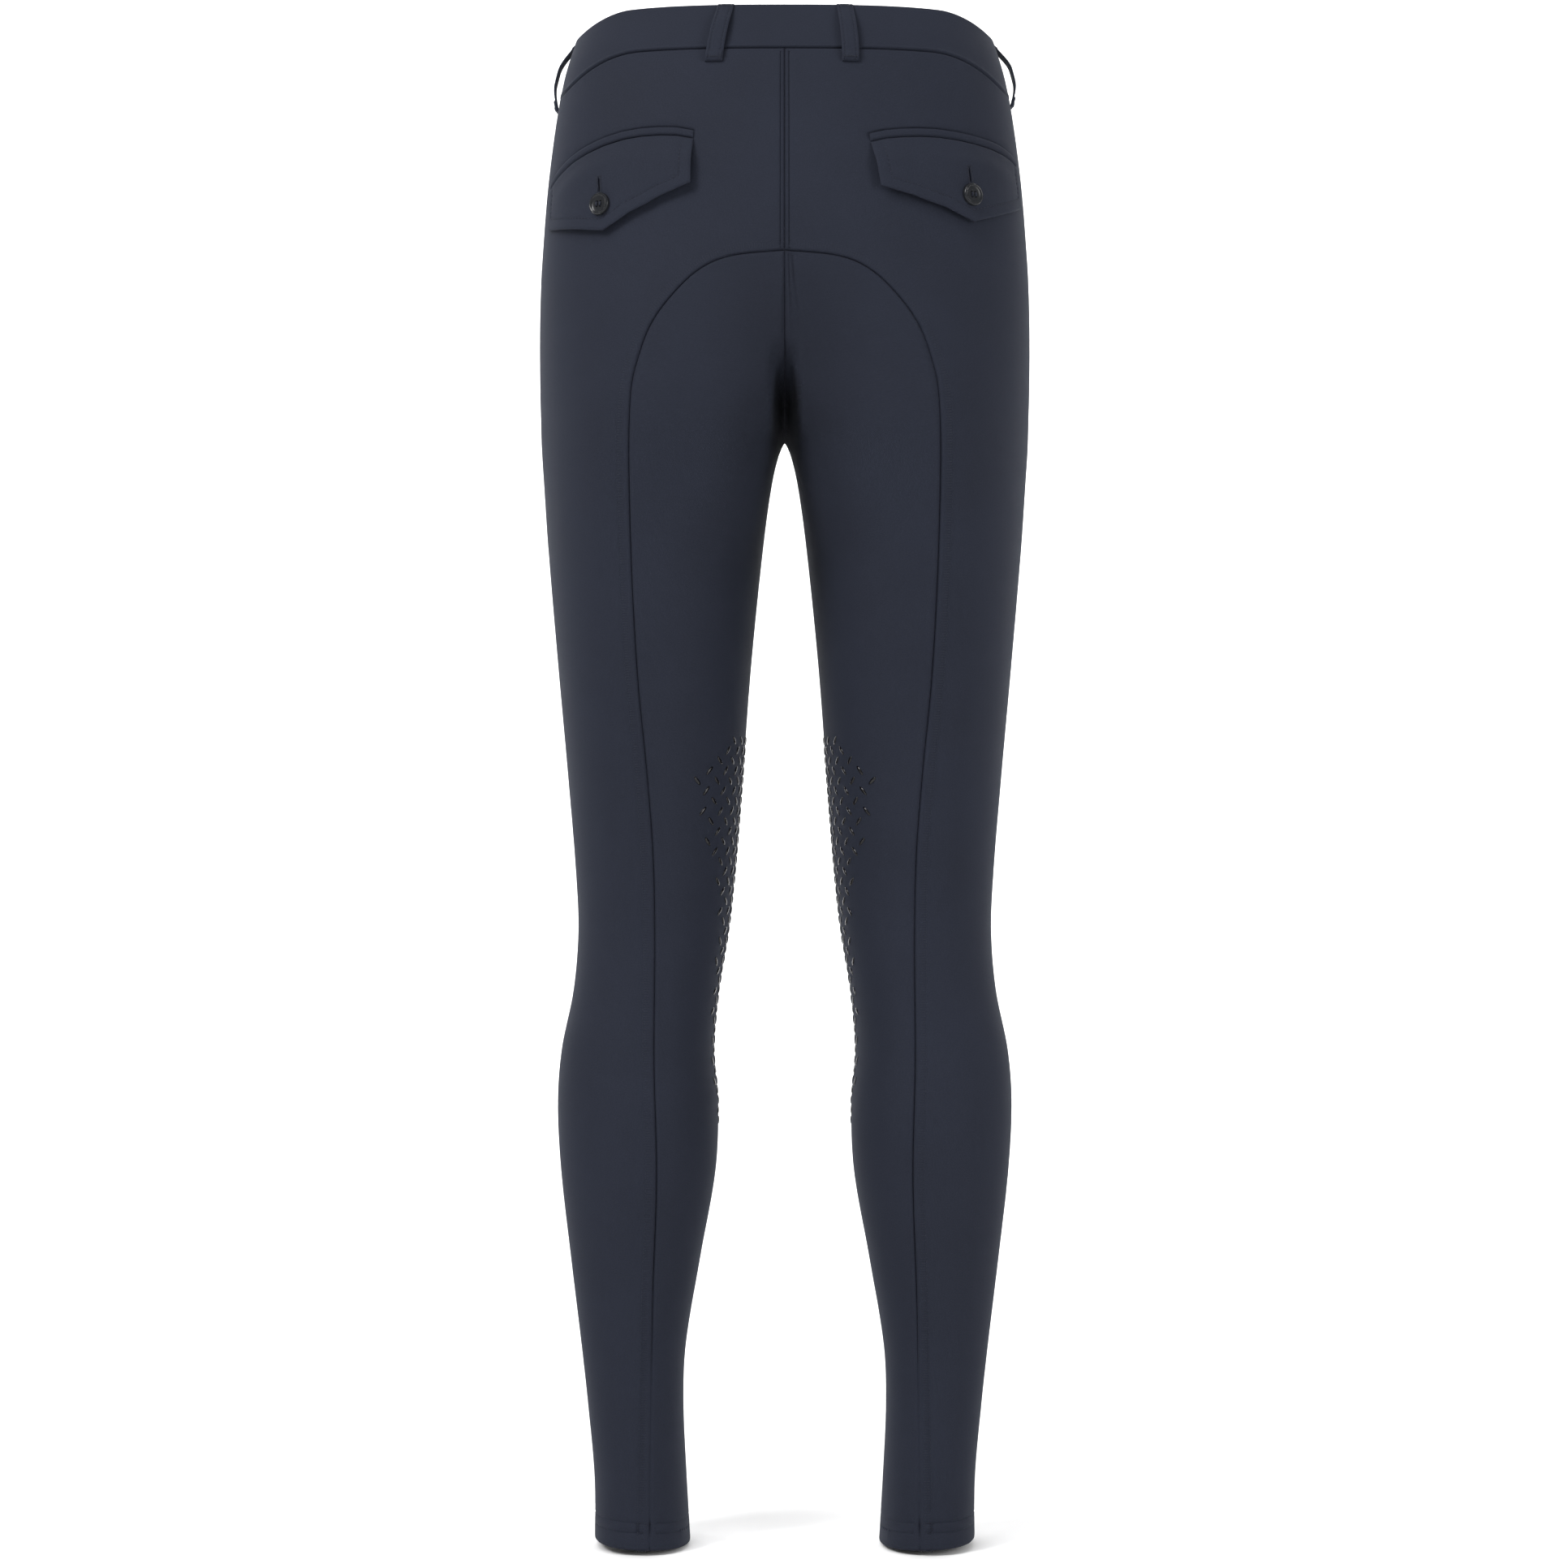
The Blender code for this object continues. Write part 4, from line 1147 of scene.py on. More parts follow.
def make_belt_loop(name, loop):
    """One belt loop, from its left edge to its right."""
    outer, inner, flat = [], [], []
    for column in LOOP_COLUMNS:
        across = column * LOOP_WIDTH / 2
        for t in LOOP_ROWS:
            under, away = loop_place(loop, t, across)
            inner.append(under)
            outer.append(under + away * loop_thickness(t, across))
            flat.append((across, t * LOOP_MIDDLE_LENGTH))
    faces = grid_faces(len(LOOP_COLUMNS), len(LOOP_ROWS))
    near = [LOOP_PUCKER] * len(outer)
    made = cloth_wall(f"cloth_belt_loop_{name}", outer, inner, faces, flat, near)
    dress(made, f"belt_loop_{name}")


# ---- Buttons ----


ButtonRing = namedtuple("ButtonRing", "radius height")
BUTTON_RINGS = [
    ButtonRing(7.5, 0.9),
    ButtonRing(7.42, 1.6),
    ButtonRing(7.15, 2.2),
    ButtonRing(6.7, 2.55),
    ButtonRing(6.2, 2.55),
    ButtonRing(5.8, 2.3),
    ButtonRing(5.45, 1.95),
    ButtonRing(5.0, 1.82),
    ButtonRing(3.4, 1.8),
]
THREAD_HOLE = 0.8 * MM
THREAD_HOLE_OUT = 1.9 * MM
THREAD_HOLE_RIM = 1.3  # its rim's radius, in radii of the hole
THREAD_HOLE_HEIGHT = 1.55 * MM
THREAD_HOLE_SIDES = 12
IN_THREAD_HOLE = 0.9 * THREAD_HOLE  # faces with their middle nearer than this are left out
BUTTON_GAP = 0.1 * MM
STRAND_SPACING = 1.5  # from one strand to the next, in radii
STRAND_STEPS = 8
STRAND_ARCH = 0.35 * MM
STRAND_DIP, STRAND_DIP_LENGTH = 1.2 * MM, 0.15  # depth into a hole, over this share of a strand


def circle(centre, radius, count):
    """Flat points round a centre."""
    turns = [TURN * k / count for k in range(count)]
    return [centre + Vector((math.cos(t), math.sin(t))) * radius for t in turns]


def button_axes(away):
    """Two directions in the plane of a button."""
    across = away.cross(Vector((0, 0, 1))).normalized()
    return across, across.cross(away)


def button(name, node, centre, away):
    """A four-hole button with a raised rim, its back against a piece of cloth."""
    sides = look().buttons.sides
    rings = [circle(Vector((0, 0)), ring.radius * MM, sides) for ring in BUTTON_RINGS]
    hole_centres = circle(Vector((0, 0)), THREAD_HOLE_OUT, 4)
    hole_centres = [Matrix.Rotation(HALF / 4, 2) @ hole for hole in hole_centres]
    rims, holes = (
        [circle(hole, THREAD_HOLE * share, THREAD_HOLE_SIDES) for hole in hole_centres]
        for share in (THREAD_HOLE_RIM, 1)
    )
    points, faces = triangulated(*ring_edges([*rings, *rims, *holes]))
    height = {}
    for ring, corners in zip(BUTTON_RINGS, rings):
        height.update((point.to_tuple(6), ring.height * MM) for point in corners)
    for hole in holes:
        height.update((point.to_tuple(6), THREAD_HOLE_HEIGHT) for point in hole)
    floor = BUTTON_RINGS[-1].height * MM
    across, up = button_axes(away)
    back = [centre + across * p.x + up * p.y for p in points]
    front = [q + away * height.get(p.to_tuple(6), floor) for p, q in zip(points, back)]
    kept = []
    for face in faces:
        middle = middle_of(points, face)
        if all((middle - hole).length > IN_THREAD_HOLE for hole in hole_centres):
            kept.append(tuple(face[::-1]))
    horn = shaded(f"horn_{name}", *walled(front, back, kept), finish("horn"), sharp=35)
    dress(horn, node)
    thread = button_thread(f"thread_{name}", centre, away, hole_centres, floor)
    dress(thread, None)


def button_thread(name, centre, away, holes, floor):
    """Strands that run between pairs of holes and go down into them."""
    across, up = button_axes(away)
    strand = look().stitching.thread * 0.5
    data = bpy.data.curves.new(name, "CURVE")
    data.dimensions = "3D"
    data.bevel_depth = strand
    data.bevel_resolution = 1
    data.use_fill_caps = True
    for first, second in ((holes[0], holes[3]), (holes[1], holes[2])):
        for aside in (-1, 0, 1):
            shift = across * aside * strand * STRAND_SPACING
            spline = data.splines.new("POLY")
            spline.points.add(STRAND_STEPS)
            for k, point in enumerate(spline.points):
                t = k / STRAND_STEPS
                flat = first + (second - first) * t
                rise = floor + strand + STRAND_ARCH * math.sin(math.pi * t)
                rise -= STRAND_DIP * swell(min(t, 1 - t), STRAND_DIP_LENGTH)
                place = centre + shift + across * flat.x + up * flat.y + away * rise
                point.co = (*place, 1)
    curve = new_object(name, data)
    return plain_mesh(curve, name, finish("thread"))


def make_pocket_button(side, pocket):
    """The button on a pocket flap, and its thread."""
    (at,) = placed([FLAP_BUTTON], pocket)
    lift = SEAM_GAP + FLAP_CLOTH + flap_float(pocket)(at) + BUTTON_GAP
    centre, away = raised(BACK_PATTERN.angle(at), at.y, lift)
    if side == "left":
        centre, away = mirrored([centre, away])
    button(f"pocket_button_{side}", f"pocket_button_{side}", centre, away)


def make_waist_button():
    """The button on the waistband's front, and its thread."""
    height = (top_line(-QUARTER) + waist_seam(-QUARTER)) / 2
    button("waist_button", "waist_button", *raised(-QUARTER, height, SEAM_GAP))


# ---- Repeats made by Geometry Nodes ----


def add(tree, kind, inputs=None, **settings):
    """A node with its settings, and its inputs joined to other nodes' sockets or set to values."""
    made = tree.nodes.new(kind)
    for name, value in settings.items():
        setattr(made, name, value)
    for key, value in (inputs or {}).items():
        if isinstance(value, bpy.types.NodeSocket):
            tree.links.new(value, made.inputs[key])
        else:
            made.inputs[key].default_value = value
    return made


def joined_by(tree, operation, first, second=0.0):
    """The result of a sum, product or the like of two values."""
    joint = add(tree, "ShaderNodeMath", {0: first, 1: second}, operation=operation)
    return joint.outputs["Value"]


def new_tree(name, sizes):
    """A Geometry Nodes tree with named inputs: geometry, sizes in metres or radians, a finish."""
    tree = bpy.data.node_groups.new(name, "GeometryNodeTree")
    tree.interface.new_socket("Geometry", in_out="INPUT", socket_type="NodeSocketGeometry")
    for size in sizes:
        tree.interface.new_socket(size, in_out="INPUT", socket_type="NodeSocketFloat")
    tree.interface.new_socket("Finish", in_out="INPUT", socket_type="NodeSocketMaterial")
    tree.interface.new_socket("Geometry", in_out="OUTPUT", socket_type="NodeSocketGeometry")
    return tree, add(tree, "NodeGroupInput").outputs


JITTER = 0.06  # how far a bead is turned at random, in radians either way
SEED = 7
STITCH_BEAD = (6, 4)  # sides and rings of a bead
GRIP_BEAD = (8, 5)


def placed_beads(tree, sizes, points, tangent, turn, length, width, height, sides, rings):
    """Small rounded beads on points, lying along a direction, turned about the way out of the
    cloth, made one mesh with their finish."""
    away = add(tree, "GeometryNodeInputNamedAttribute", {"Name": "away"}, data_type="FLOAT_VECTOR")
    upright = add(
        tree,
        "FunctionNodeAlignRotationToVector",
        {"Vector": away.outputs["Attribute"]},
        axis="Z",
    )
    along = add(
        tree,
        "FunctionNodeAlignRotationToVector",
        {"Rotation": upright.outputs["Rotation"], "Vector": tangent},
        axis="X",
        pivot_axis="Z",
    )
    jitter = add(
        tree,
        "FunctionNodeRandomValue",
        {"Min": -JITTER, "Max": JITTER, "Seed": SEED},
        data_type="FLOAT",
    )
    total = joined_by(tree, "ADD", turn, jitter.outputs["Value"])
    euler = add(tree, "ShaderNodeCombineXYZ", {"Z": total})
    spin = add(tree, "FunctionNodeEulerToRotation", {"Euler": euler.outputs["Vector"]})
    facing = add(
        tree,
        "FunctionNodeRotateRotation",
        {"Rotation": along.outputs["Rotation"], "Rotate By": spin.outputs["Rotation"]},
        rotation_space="LOCAL",
    )
    bead = add(tree, "GeometryNodeMeshUVSphere", {"Segments": sides, "Rings": rings, "Radius": 0.5})
    smooth = add(tree, "GeometryNodeSetShadeSmooth", {"Geometry": bead.outputs["Mesh"]})
    size = add(tree, "ShaderNodeCombineXYZ", {"X": length, "Y": width, "Z": height})
    copies = add(
        tree,
        "GeometryNodeInstanceOnPoints",
        {
            "Points": points,
            "Instance": smooth.outputs["Geometry"],
            "Rotation": facing.outputs["Rotation"],
            "Scale": size.outputs["Vector"],
        },
    )
    real = add(tree, "GeometryNodeRealizeInstances", {"Geometry": copies.outputs["Instances"]})
    finished = add(
        tree,
        "GeometryNodeSetMaterial",
        {"Geometry": real.outputs["Geometry"], "Material": sizes["Finish"]},
    )
    add(tree, "NodeGroupOutput", {"Geometry": finished.outputs["Geometry"]})
    return tree


def stitch_tree():
    """Stitches one after another along lines, each turned as asked."""
    tree, sizes = new_tree("stitches", ("Length", "Pitch", "Thread", "Turn"))
    line = add(tree, "GeometryNodeMeshToCurve", {"Mesh": sizes["Geometry"]})
    even = add(
        tree,
        "GeometryNodeResampleCurve",
        {"Curve": line.outputs["Curve"], "Length": sizes["Pitch"]},
        mode="LENGTH",
    )
    points = even.outputs["Curve"]
    tangent = add(tree, "GeometryNodeInputTangent").outputs["Tangent"]
    measures = [sizes[name] for name in ("Turn", "Length", "Thread", "Thread")]
    return placed_beads(tree, sizes, points, tangent, *measures, *STITCH_BEAD)


def grip_tree():
    """Raised bars on points, each slanted to the side that its point says."""
    tree, sizes = new_tree("grip bars", ("Length", "Width", "Height", "Slant"))
    up = add(tree, "GeometryNodeInputNamedAttribute", {"Name": "up"}, data_type="FLOAT_VECTOR")
    lean = add(tree, "GeometryNodeInputNamedAttribute", {"Name": "lean"}, data_type="FLOAT")
    turn = joined_by(tree, "MULTIPLY", lean.outputs["Attribute"], sizes["Slant"])
    points, tangent = sizes["Geometry"], up.outputs["Attribute"]
    measures = [sizes[name] for name in ("Length", "Width", "Height")]
    return placed_beads(tree, sizes, points, tangent, turn, *measures, *GRIP_BEAD)


def plain_mesh(piece, name, material):
    """The evaluated piece as a mesh object of its own, with nothing live on it."""
    evaluated = piece.evaluated_get(bpy.context.evaluated_depsgraph_get())
    mesh = bpy.data.meshes.new_from_object(evaluated)
    bpy.data.objects.remove(piece)
    mesh.name = name
    if not mesh.materials:
        mesh.materials.append(material)
    for extra in ("away", "up", "lean"):
        if extra in mesh.attributes:
            mesh.attributes.remove(mesh.attributes[extra])
    return new_object(name, mesh)


def grown(name, points, edges, attributes, tree, values):
    """Runs a tree on guide points and returns what it makes as a plain mesh."""
    mesh = bpy.data.meshes.new(name + "_guide")
    mesh.from_pydata(points, edges, [])
    for key, numbers in attributes.items():
        kind = "FLOAT_VECTOR" if len(np.shape(numbers)) == 2 else "FLOAT"
        made = mesh.attributes.new(key, kind, "POINT")
        field = "vector" if kind == "FLOAT_VECTOR" else "value"
        made.data.foreach_set(field, np.array(numbers, np.float32).ravel())
    guide = new_object(name + "_guide", mesh)
    nodes = guide.modifiers.new("repeat", "NODES")
    nodes.node_group = tree
    for socket in tree.interface.items_tree:
        if socket.in_out == "INPUT" and socket.name in values:
            nodes[socket.identifier] = values[socket.name]
    return plain_mesh(guide, name, values["Finish"])


# ---- Sewing ----


def on_cloth(flat_line, pattern, lift=0.0):
    """A flat line as points on the right side's cloth, each with the way out of it."""
    return [raised(pattern.angle(point), point.y, lift) for point in flat_line]


def to_left(lines):
    """The right side's lines of (point, way out), moved to the left side."""
    return [[tuple(mirrored(pair)) for pair in line] for line in lines]


def sew(name, lines, length, gap, turn=0.0, thread=1.0):
    """Stitches along lines of (point, way out), with a share of the thread's usual thickness."""
    stitching = look().stitching
    points, aways, edges = [], [], []
    for line in lines:
        first = len(points)
        points += [point for point, _ in line]
        aways += [tuple(away) for _, away in line]
        edges += [(k, k + 1) for k in range(first, len(points) - 1)]
    tree = bpy.data.node_groups.get("stitches") or stitch_tree()
    values = {
        "Length": length,
        "Pitch": length + gap,
        "Thread": stitching.thread * thread,
        "Turn": turn,
        "Finish": finish("thread"),
    }
    return dress(grown(name, points, edges, {"away": aways}, tree, values), None)


def level_line(from_angle, to_angle, line_height, lift, step=3 * MM):
    """A line round the body or a leg, on the cloth."""
    steps = max(2, round(abs(to_angle - from_angle) * girth(line_height(from_angle)) / step))
    angles = [from_angle + (to_angle - from_angle) * k / steps for k in range(steps + 1)]
    return [raised(angle, line_height(angle), lift) for angle in angles]


def upright_line(across, top, bottom, behind, lift, step=4 * MM):
    """A line down the body at a distance from its middle."""
    steps = max(2, round((top - bottom) / step))
    heights = [top + (bottom - top) * k / steps for k in range(steps + 1)]
    return [raised(angle_at(across, height, behind), height, lift) for height in heights]


SEW_CLEAR = 1.5 * MM  # stitches stop this far from a seam across them
COVER_STEP = 4 * MM
COVER_LIFT, TICK_LIFT = -0.1 * MM, -0.12 * MM
TICK_PITCH = 1.7 * MM
ARCH_TACK = (1.5 * MM, 14 * MM, -152.3 * MM)  # from and to across, height
ARCH_TACK_STEPS = 6
UNDER_ARCH = 2 * MM
FELL_STITCHES_END = -208 * MM
HEM_STITCH_SINK = 1.2  # the hem's stitches lie this many times as deep as it is pressed
FLY_WIDTH = 34 * MM
FLY_BOTTOM = -176 * MM
FLY_CURVES = (0.68, 1.0)  # shares of the way down between which the fly's stitches turn in
FLY_STEPS = 40
FLY_LIFT = -0.05 * MM
FLY_TACK = (4 * MM, 10 * MM, 2 * MM)  # across, and its top and bottom above the fly's foot
FLAP_STITCH_SINK = 0.55  # share of the pressed line's depth
FLAP_STITCH_STEP = 3 * MM
HOLE_STITCHES_OUT = 1.15 * MM  # from the middle of the buttonhole
HOLE_TACK_OUT, HOLE_TACK_HALF = 0.5 * MM, 1.3 * MM  # past its end, and to either side
STITCH_LIFT, TACK_LIFT = 0.02 * MM, 0.05 * MM
LOOP_TACK_WIDTH = 0.8  # share of the belt loop's width


def sew_seat_seams():
    """Cover stitch along the seat seams, outside them: two rows, and threads across between
    them."""
    stitching = look().stitching

    def beside(shift, lift, first):
        line = seam_in(BACK_PATTERN, SEAT_SEAM, True, -shift, COVER_STEP)
        return on_cloth(line[first:], BACK_PATTERN, lift)

    rows = [beside(shift, COVER_LIFT, 1) for shift in COVER_ROWS]
    ticks = [beside(sum(COVER_ROWS) / 2, TICK_LIFT, 2)]
    width = COVER_ROWS[1] - COVER_ROWS[0]
    sew("cover_stitch_right", rows, stitching.length, stitching.gap, thread=0.6)
    sew("cover_stitch_left", to_left(rows), stitching.length, stitching.gap, thread=0.6)
    sew("cover_threads_right", ticks, width, TICK_PITCH - width, QUARTER, thread=0.7)
    sew("cover_threads_left", to_left(ticks), width, TICK_PITCH - width, QUARTER, thread=0.7)


def sew_centre_back():
    """Topstitching beside the centre back seam, and a short row over the arch of the seat seam."""
    stitching = look().stitching
    lines = []
    top = waist_seam(QUARTER) - SEW_CLEAR
    bottom = SEAT_SEAM[0].height * MM + SEW_CLEAR
    for side, rows in CENTRE_GROOVES["back"].items():
        line = upright_line(rows[0], top, bottom, True, -FELL_SINK)
        lines += to_left([line]) if side == "left" else [line]
    start, end, height = ARCH_TACK
    places = [start + (end - start) * k / ARCH_TACK_STEPS for k in range(ARCH_TACK_STEPS + 1)]
    lines += to_left([[raised(angle_at(across, height), height) for across in places]])
    top = SEAT_SEAM[0].height * MM - UNDER_ARCH
    for across in CENTRE_GROOVES["seat_leg"]["right"]:
        lines.append(upright_line(across, top, FELL_STITCHES_END, True, -FELL_SINK))
    sew("centre_back_stitches", lines, stitching.length, stitching.gap, thread=0.7)


def sew_fly():
    """The fly's curved topstitching on the wearer's left front, and a bar tack at its foot."""
    stitching = look().stitching
    line = []
    top = waist_seam(-QUARTER) - SEW_CLEAR
    for k in range(FLY_STEPS + 1):
        t = k / FLY_STEPS
        height = top + (FLY_BOTTOM - top) * t
        across = SEW_CLEAR + (FLY_WIDTH - SEW_CLEAR) * (1 - fade(t, *FLY_CURVES))
        line.append(raised(angle_at(across, height, False), height, FLY_LIFT))
    across, tack_top, tack_bottom = FLY_TACK
    heights = FLY_BOTTOM + tack_top, FLY_BOTTOM + tack_bottom
    foot = upright_line(across, *heights, False, 0.0, 1 * MM)
    sew("fly_stitches", to_left([line]), stitching.length, stitching.gap, thread=0.8)
    sew("fly_tack", to_left([foot]), 2.2 * MM, -1.6 * MM, QUARTER, thread=0.9)


def sew_hems():
    """Two rows of stitches round each hem."""
    stitching = look().stitching
    sink = -HEM_STITCH_SINK * HEM_SINK
    for side in ("left", "right"):
        lines = []
        for above in HEM_LINES:
            lines.append(level_line(0.0, TURN, lambda a: hem_line(a) + above, sink))
        lines = to_left(lines) if side == "left" else lines
        sew(f"hem_stitches_{side}", lines, stitching.length, stitching.gap, thread=0.55)


def sew_pockets():
    """Topstitching of the flaps, and the thread round their buttonholes."""
    stitching = look().stitching
    for side, pocket in POCKETS.items():
        floats = flap_float(pocket)
        face = SEAM_GAP + FLAP_CLOTH

        def on_flap(flat_line, lift):
            return [
                raised(BACK_PATTERN.angle(point), point.y, face + floats(point) + lift)
                for point in flat_line
            ]

        edge = subdivided(flap_stitch_line(pocket), FLAP_STITCH_STEP)[2:-2]
        stitches = [on_flap(edge, -STITCH_SINK * FLAP_STITCH_SINK)]
        top, bottom = placed(BUTTONHOLE, pocket)
        slit = subdivided([top, bottom], 1 * MM)
        sides = [
            on_flap(moved_aside(slit, aside * HOLE_STITCHES_OUT), STITCH_LIFT)
            for aside in (-1, 1)
        ]
        ends = []
        for end, other in ((top, bottom), (bottom, top)):
            out = (end - other).normalized()
            across = Vector((-out.y, out.x)) * HOLE_TACK_HALF
            middle = end + out * HOLE_TACK_OUT
            ends.append(on_flap([middle - across, middle, middle + across], TACK_LIFT))
        if side == "left":
            stitches, sides, ends = to_left(stitches), to_left(sides), to_left(ends)
        sew(f"flap_stitches_{side}", stitches, stitching.length, stitching.gap)
        sew(f"buttonhole_thread_{side}", sides, 1.7 * MM, -1.1 * MM, QUARTER, thread=0.85)
        sew(f"buttonhole_tacks_{side}", ends, 1.6 * MM, -1.0 * MM, QUARTER, thread=0.9)


def sew_belt_loops():
    """Topstitching along the belt loops' edges, and bar tacks across their ends."""
    stitching = look().stitching
    edges, tacks = [], []
    for name, loop in LOOPS.items():

        def on_loop(t, across, lift):
            under, away = loop_place(loop, t, across)
            return under + away * (loop_thickness(t, across) + lift), away

        rows = [
            [on_loop(0.02 + 0.96 * k / 24, aside, STITCH_LIFT) for k in range(25)]
            for aside in (-LOOP_STITCHES, LOOP_STITCHES)
        ]
        width = LOOP_TACK_WIDTH * LOOP_WIDTH
        bars = [
            [on_loop(t, (k / 8 - 0.5) * width, TACK_LIFT) for k in range(9)] for t in LOOP_TACKS
        ]
        left = name.endswith("left")
        edges += to_left(rows) if left else rows
        tacks += to_left(bars) if left else bars
    sew("belt_loop_stitches", edges, stitching.length, stitching.gap, thread=0.75)
    sew("belt_loop_tacks", tacks, 1.8 * MM, -1.25 * MM, QUARTER, thread=0.75)


# ---- Knee grip ----


# Back edge of the grip: how many degrees round the leg it reaches from the inside, at what height
GripEdge = namedtuple("GripEdge", "reach height")
GRIP_EDGE = [
    GripEdge(50, -472),
    GripEdge(58, -482),
    GripEdge(62, -492),
    GripEdge(69, -500),
    GripEdge(67, -511),
    GripEdge(64.5, -522),
    GripEdge(60.5, -532),
    GripEdge(57.5, -543),
    GripEdge(52.5, -553),
    GripEdge(47.5, -562),
    GripEdge(46, -575),
    GripEdge(40, -596),
    GripEdge(37.5, -614),
    GripEdge(34.5, -626),
    GripEdge(29.5, -643),
    GripEdge(25, -665),
    GripEdge(20, -690),
    GripEdge(15, -716),
    GripEdge(8, -727),
]
GRIP_FRONT = 0.8  # the grip reaches this share as far round to the front


def make_knee_grip():
    """Raised bars on the inside of each knee. Their columns run up the leg, each column half a step
    higher than the last and slanted to the other side."""
    grip = look().grip
    top, bottom = GRIP_EDGE[0].height * MM, GRIP_EDGE[-1].height * MM
    rows = round((top - bottom) / (grip.pitch / 2))
    points, aways, ups, leans = [], [], [], []
    for row in range(rows + 1):
        height = top + (bottom - top) * row / rows
        reach = math.radians(between(GRIP_EDGE, "reach", height)) * girth(height) / grip.column
        for column in range(-int(reach), int(reach * GRIP_FRONT) + 1):
            if (row + column) % 2:
                continue
            angle = HALF + column * grip.column / girth(height)
            away = outward(angle, height)
            rise = skin(angle, height + 1 * MM) - skin(angle, height - 1 * MM)
            points.append(skin(angle, height))
            aways.append(tuple(away))
            ups.append(tuple(rise.normalized()))
            leans.append(1.0 if column % 2 else -1.0)
    tree = grip_tree()
    values = {
        "Length": grip.bar_length,
        "Width": grip.bar_width,
        "Height": 2 * grip.bar_height,
        "Slant": grip.slant,
        "Finish": finish("grip"),
    }
    for side in ("left", "right"):
        facts = {"away": aways, "up": ups, "lean": leans}
        spots = points
        if side == "left":
            spots = mirrored(points)
            facts = {
                "away": [(-x, y, z) for x, y, z in aways],
                "up": [(-x, y, z) for x, y, z in ups],
                "lean": [-lean for lean in leans],
            }
        dress(grown(f"knee_grip_{side}", spots, [], facts, tree, values), None)


# ---- Finishes ----


FINISHES = {}


def finish(name):
    """A finish by name, made the first time it is asked for."""
    if name not in FINISHES:
        makers = {"cloth": cloth_finish, "thread": thread_finish}
        makers.update({"grip": grip_finish, "horn": horn_finish})
        FINISHES[name] = makers[name]()
    return FINISHES[name]


def new_finish(name, roughness, **constants):
    """A material with a Principled shader, whose inputs by these names are constants."""
    made = bpy.data.materials.new(name)
    made.use_nodes = True
    shader = made.node_tree.nodes["Principled BSDF"]
    shader.inputs["Roughness"].default_value = roughness
    for key, value in constants.items():
        shader.inputs[key.replace("_", " ").title().replace("Ior", "IOR")].default_value = value
    return made, made.node_tree, shader


def tone(colour, share):
    """A colour made lighter or darker by a share."""
    return (*(channel * share for channel in colour), 1)


def blended(tree, factor, dark, light):
    """A mix of two colours by a factor."""
    mixed = add(tree, "ShaderNodeMix", {0: factor, 6: dark, 7: light}, data_type="RGBA")
    return mixed.outputs[2]


def ramp(tree, value, low, high):
    """A value spread from between low and high to between 0 and 1."""
    spread = add(tree, "ShaderNodeMapRange", {"Value": value, "From Min": low, "From Max": high})
    return spread.outputs["Result"]


WAVE_PERIOD = math.pi / 10  # of a wave texture at scale 1


def ribs(tree, place, direction, period):
    """Parallel ribs a period apart, 0 to 1."""
    wave = add(
        tree,
        "ShaderNodeTexWave",
        {"Vector": place, "Scale": WAVE_PERIOD / period},
        wave_type="BANDS",
        bands_direction=direction,
        wave_profile="SIN",
    )
    return wave.outputs["Fac"]


def speckle(tree, place, scale, detail, distortion=0.0):
    """Soft random spots, 0 to 1."""
    inputs = {"Vector": place, "Scale": scale, "Detail": detail, "Distortion": distortion}
    return add(tree, "ShaderNodeTexNoise", inputs).outputs["Fac"]


def roughened(tree, shader, value, low, high):
    """Makes a finish's roughness wander between two values."""
    rough = add(tree, "ShaderNodeMapRange", {"Value": value, "To Min": low, "To Max": high})
    tree.links.new(rough.outputs["Result"], shader.inputs["Roughness"])


def soft_ramp(tree, value, low, high):
    """A value spread from between low and high to between 0 and 1, with soft ends."""
    spread = add(
        tree,
        "ShaderNodeMapRange",
        {"Value": value, "From Min": low, "From Max": high},
        interpolation_type="SMOOTHSTEP",
    )
    return spread.outputs["Result"]


# Painted shade at the back of the crotch: the cloth's colour is darkened where the fold gets no
# light
CORE_MIDDLE = 1.2 * MM  # the painted shade's dark core: its middle, across
CORE_ASIDE = (13 * MM, 5 * MM)  # distances from it between which the core comes in
CORE_BELOW = (-220 * MM, -256 * MM)
PAINTED_CORE_TONE = 0.02  # share of the cloth's colour that is left in the painted shade's core
HALO_ASIDE = (60 * MM, 8 * MM)
HALO_BELOW = (-120 * MM, -230 * MM)
HALO_ABOVE = (-560 * MM, -320 * MM)
PAINTED_HALO_SHARE = 0.24
SHADE_BEHIND = (24 * MM, 4 * MM)


def painted_crotch_shade(tree, place):
    """How much painted shade darkens the cloth's colour at the back of the crotch, where no light
    gets in: a dark core of painted shade and a fainter painted shade round it."""
    parts = add(tree, "ShaderNodeSeparateXYZ", {"Vector": place})
    x, y, z = (parts.outputs[name] for name in "XYZ")
    aside = joined_by(tree, "ABSOLUTE", joined_by(tree, "SUBTRACT", x, CORE_MIDDLE))
    core = soft_ramp(tree, aside, *CORE_ASIDE)
    core = joined_by(tree, "MULTIPLY", core, soft_ramp(tree, z, *CORE_BELOW))
    halo = soft_ramp(tree, aside, *HALO_ASIDE)
    for span in (HALO_BELOW, HALO_ABOVE):
        halo = joined_by(tree, "MULTIPLY", halo, soft_ramp(tree, z, *span))
    halo = joined_by(tree, "MULTIPLY", halo, PAINTED_HALO_SHARE)
    either = joined_by(tree, "MAXIMUM", core, halo)
    return joined_by(tree, "MULTIPLY", either, soft_ramp(tree, y, *SHADE_BEHIND))


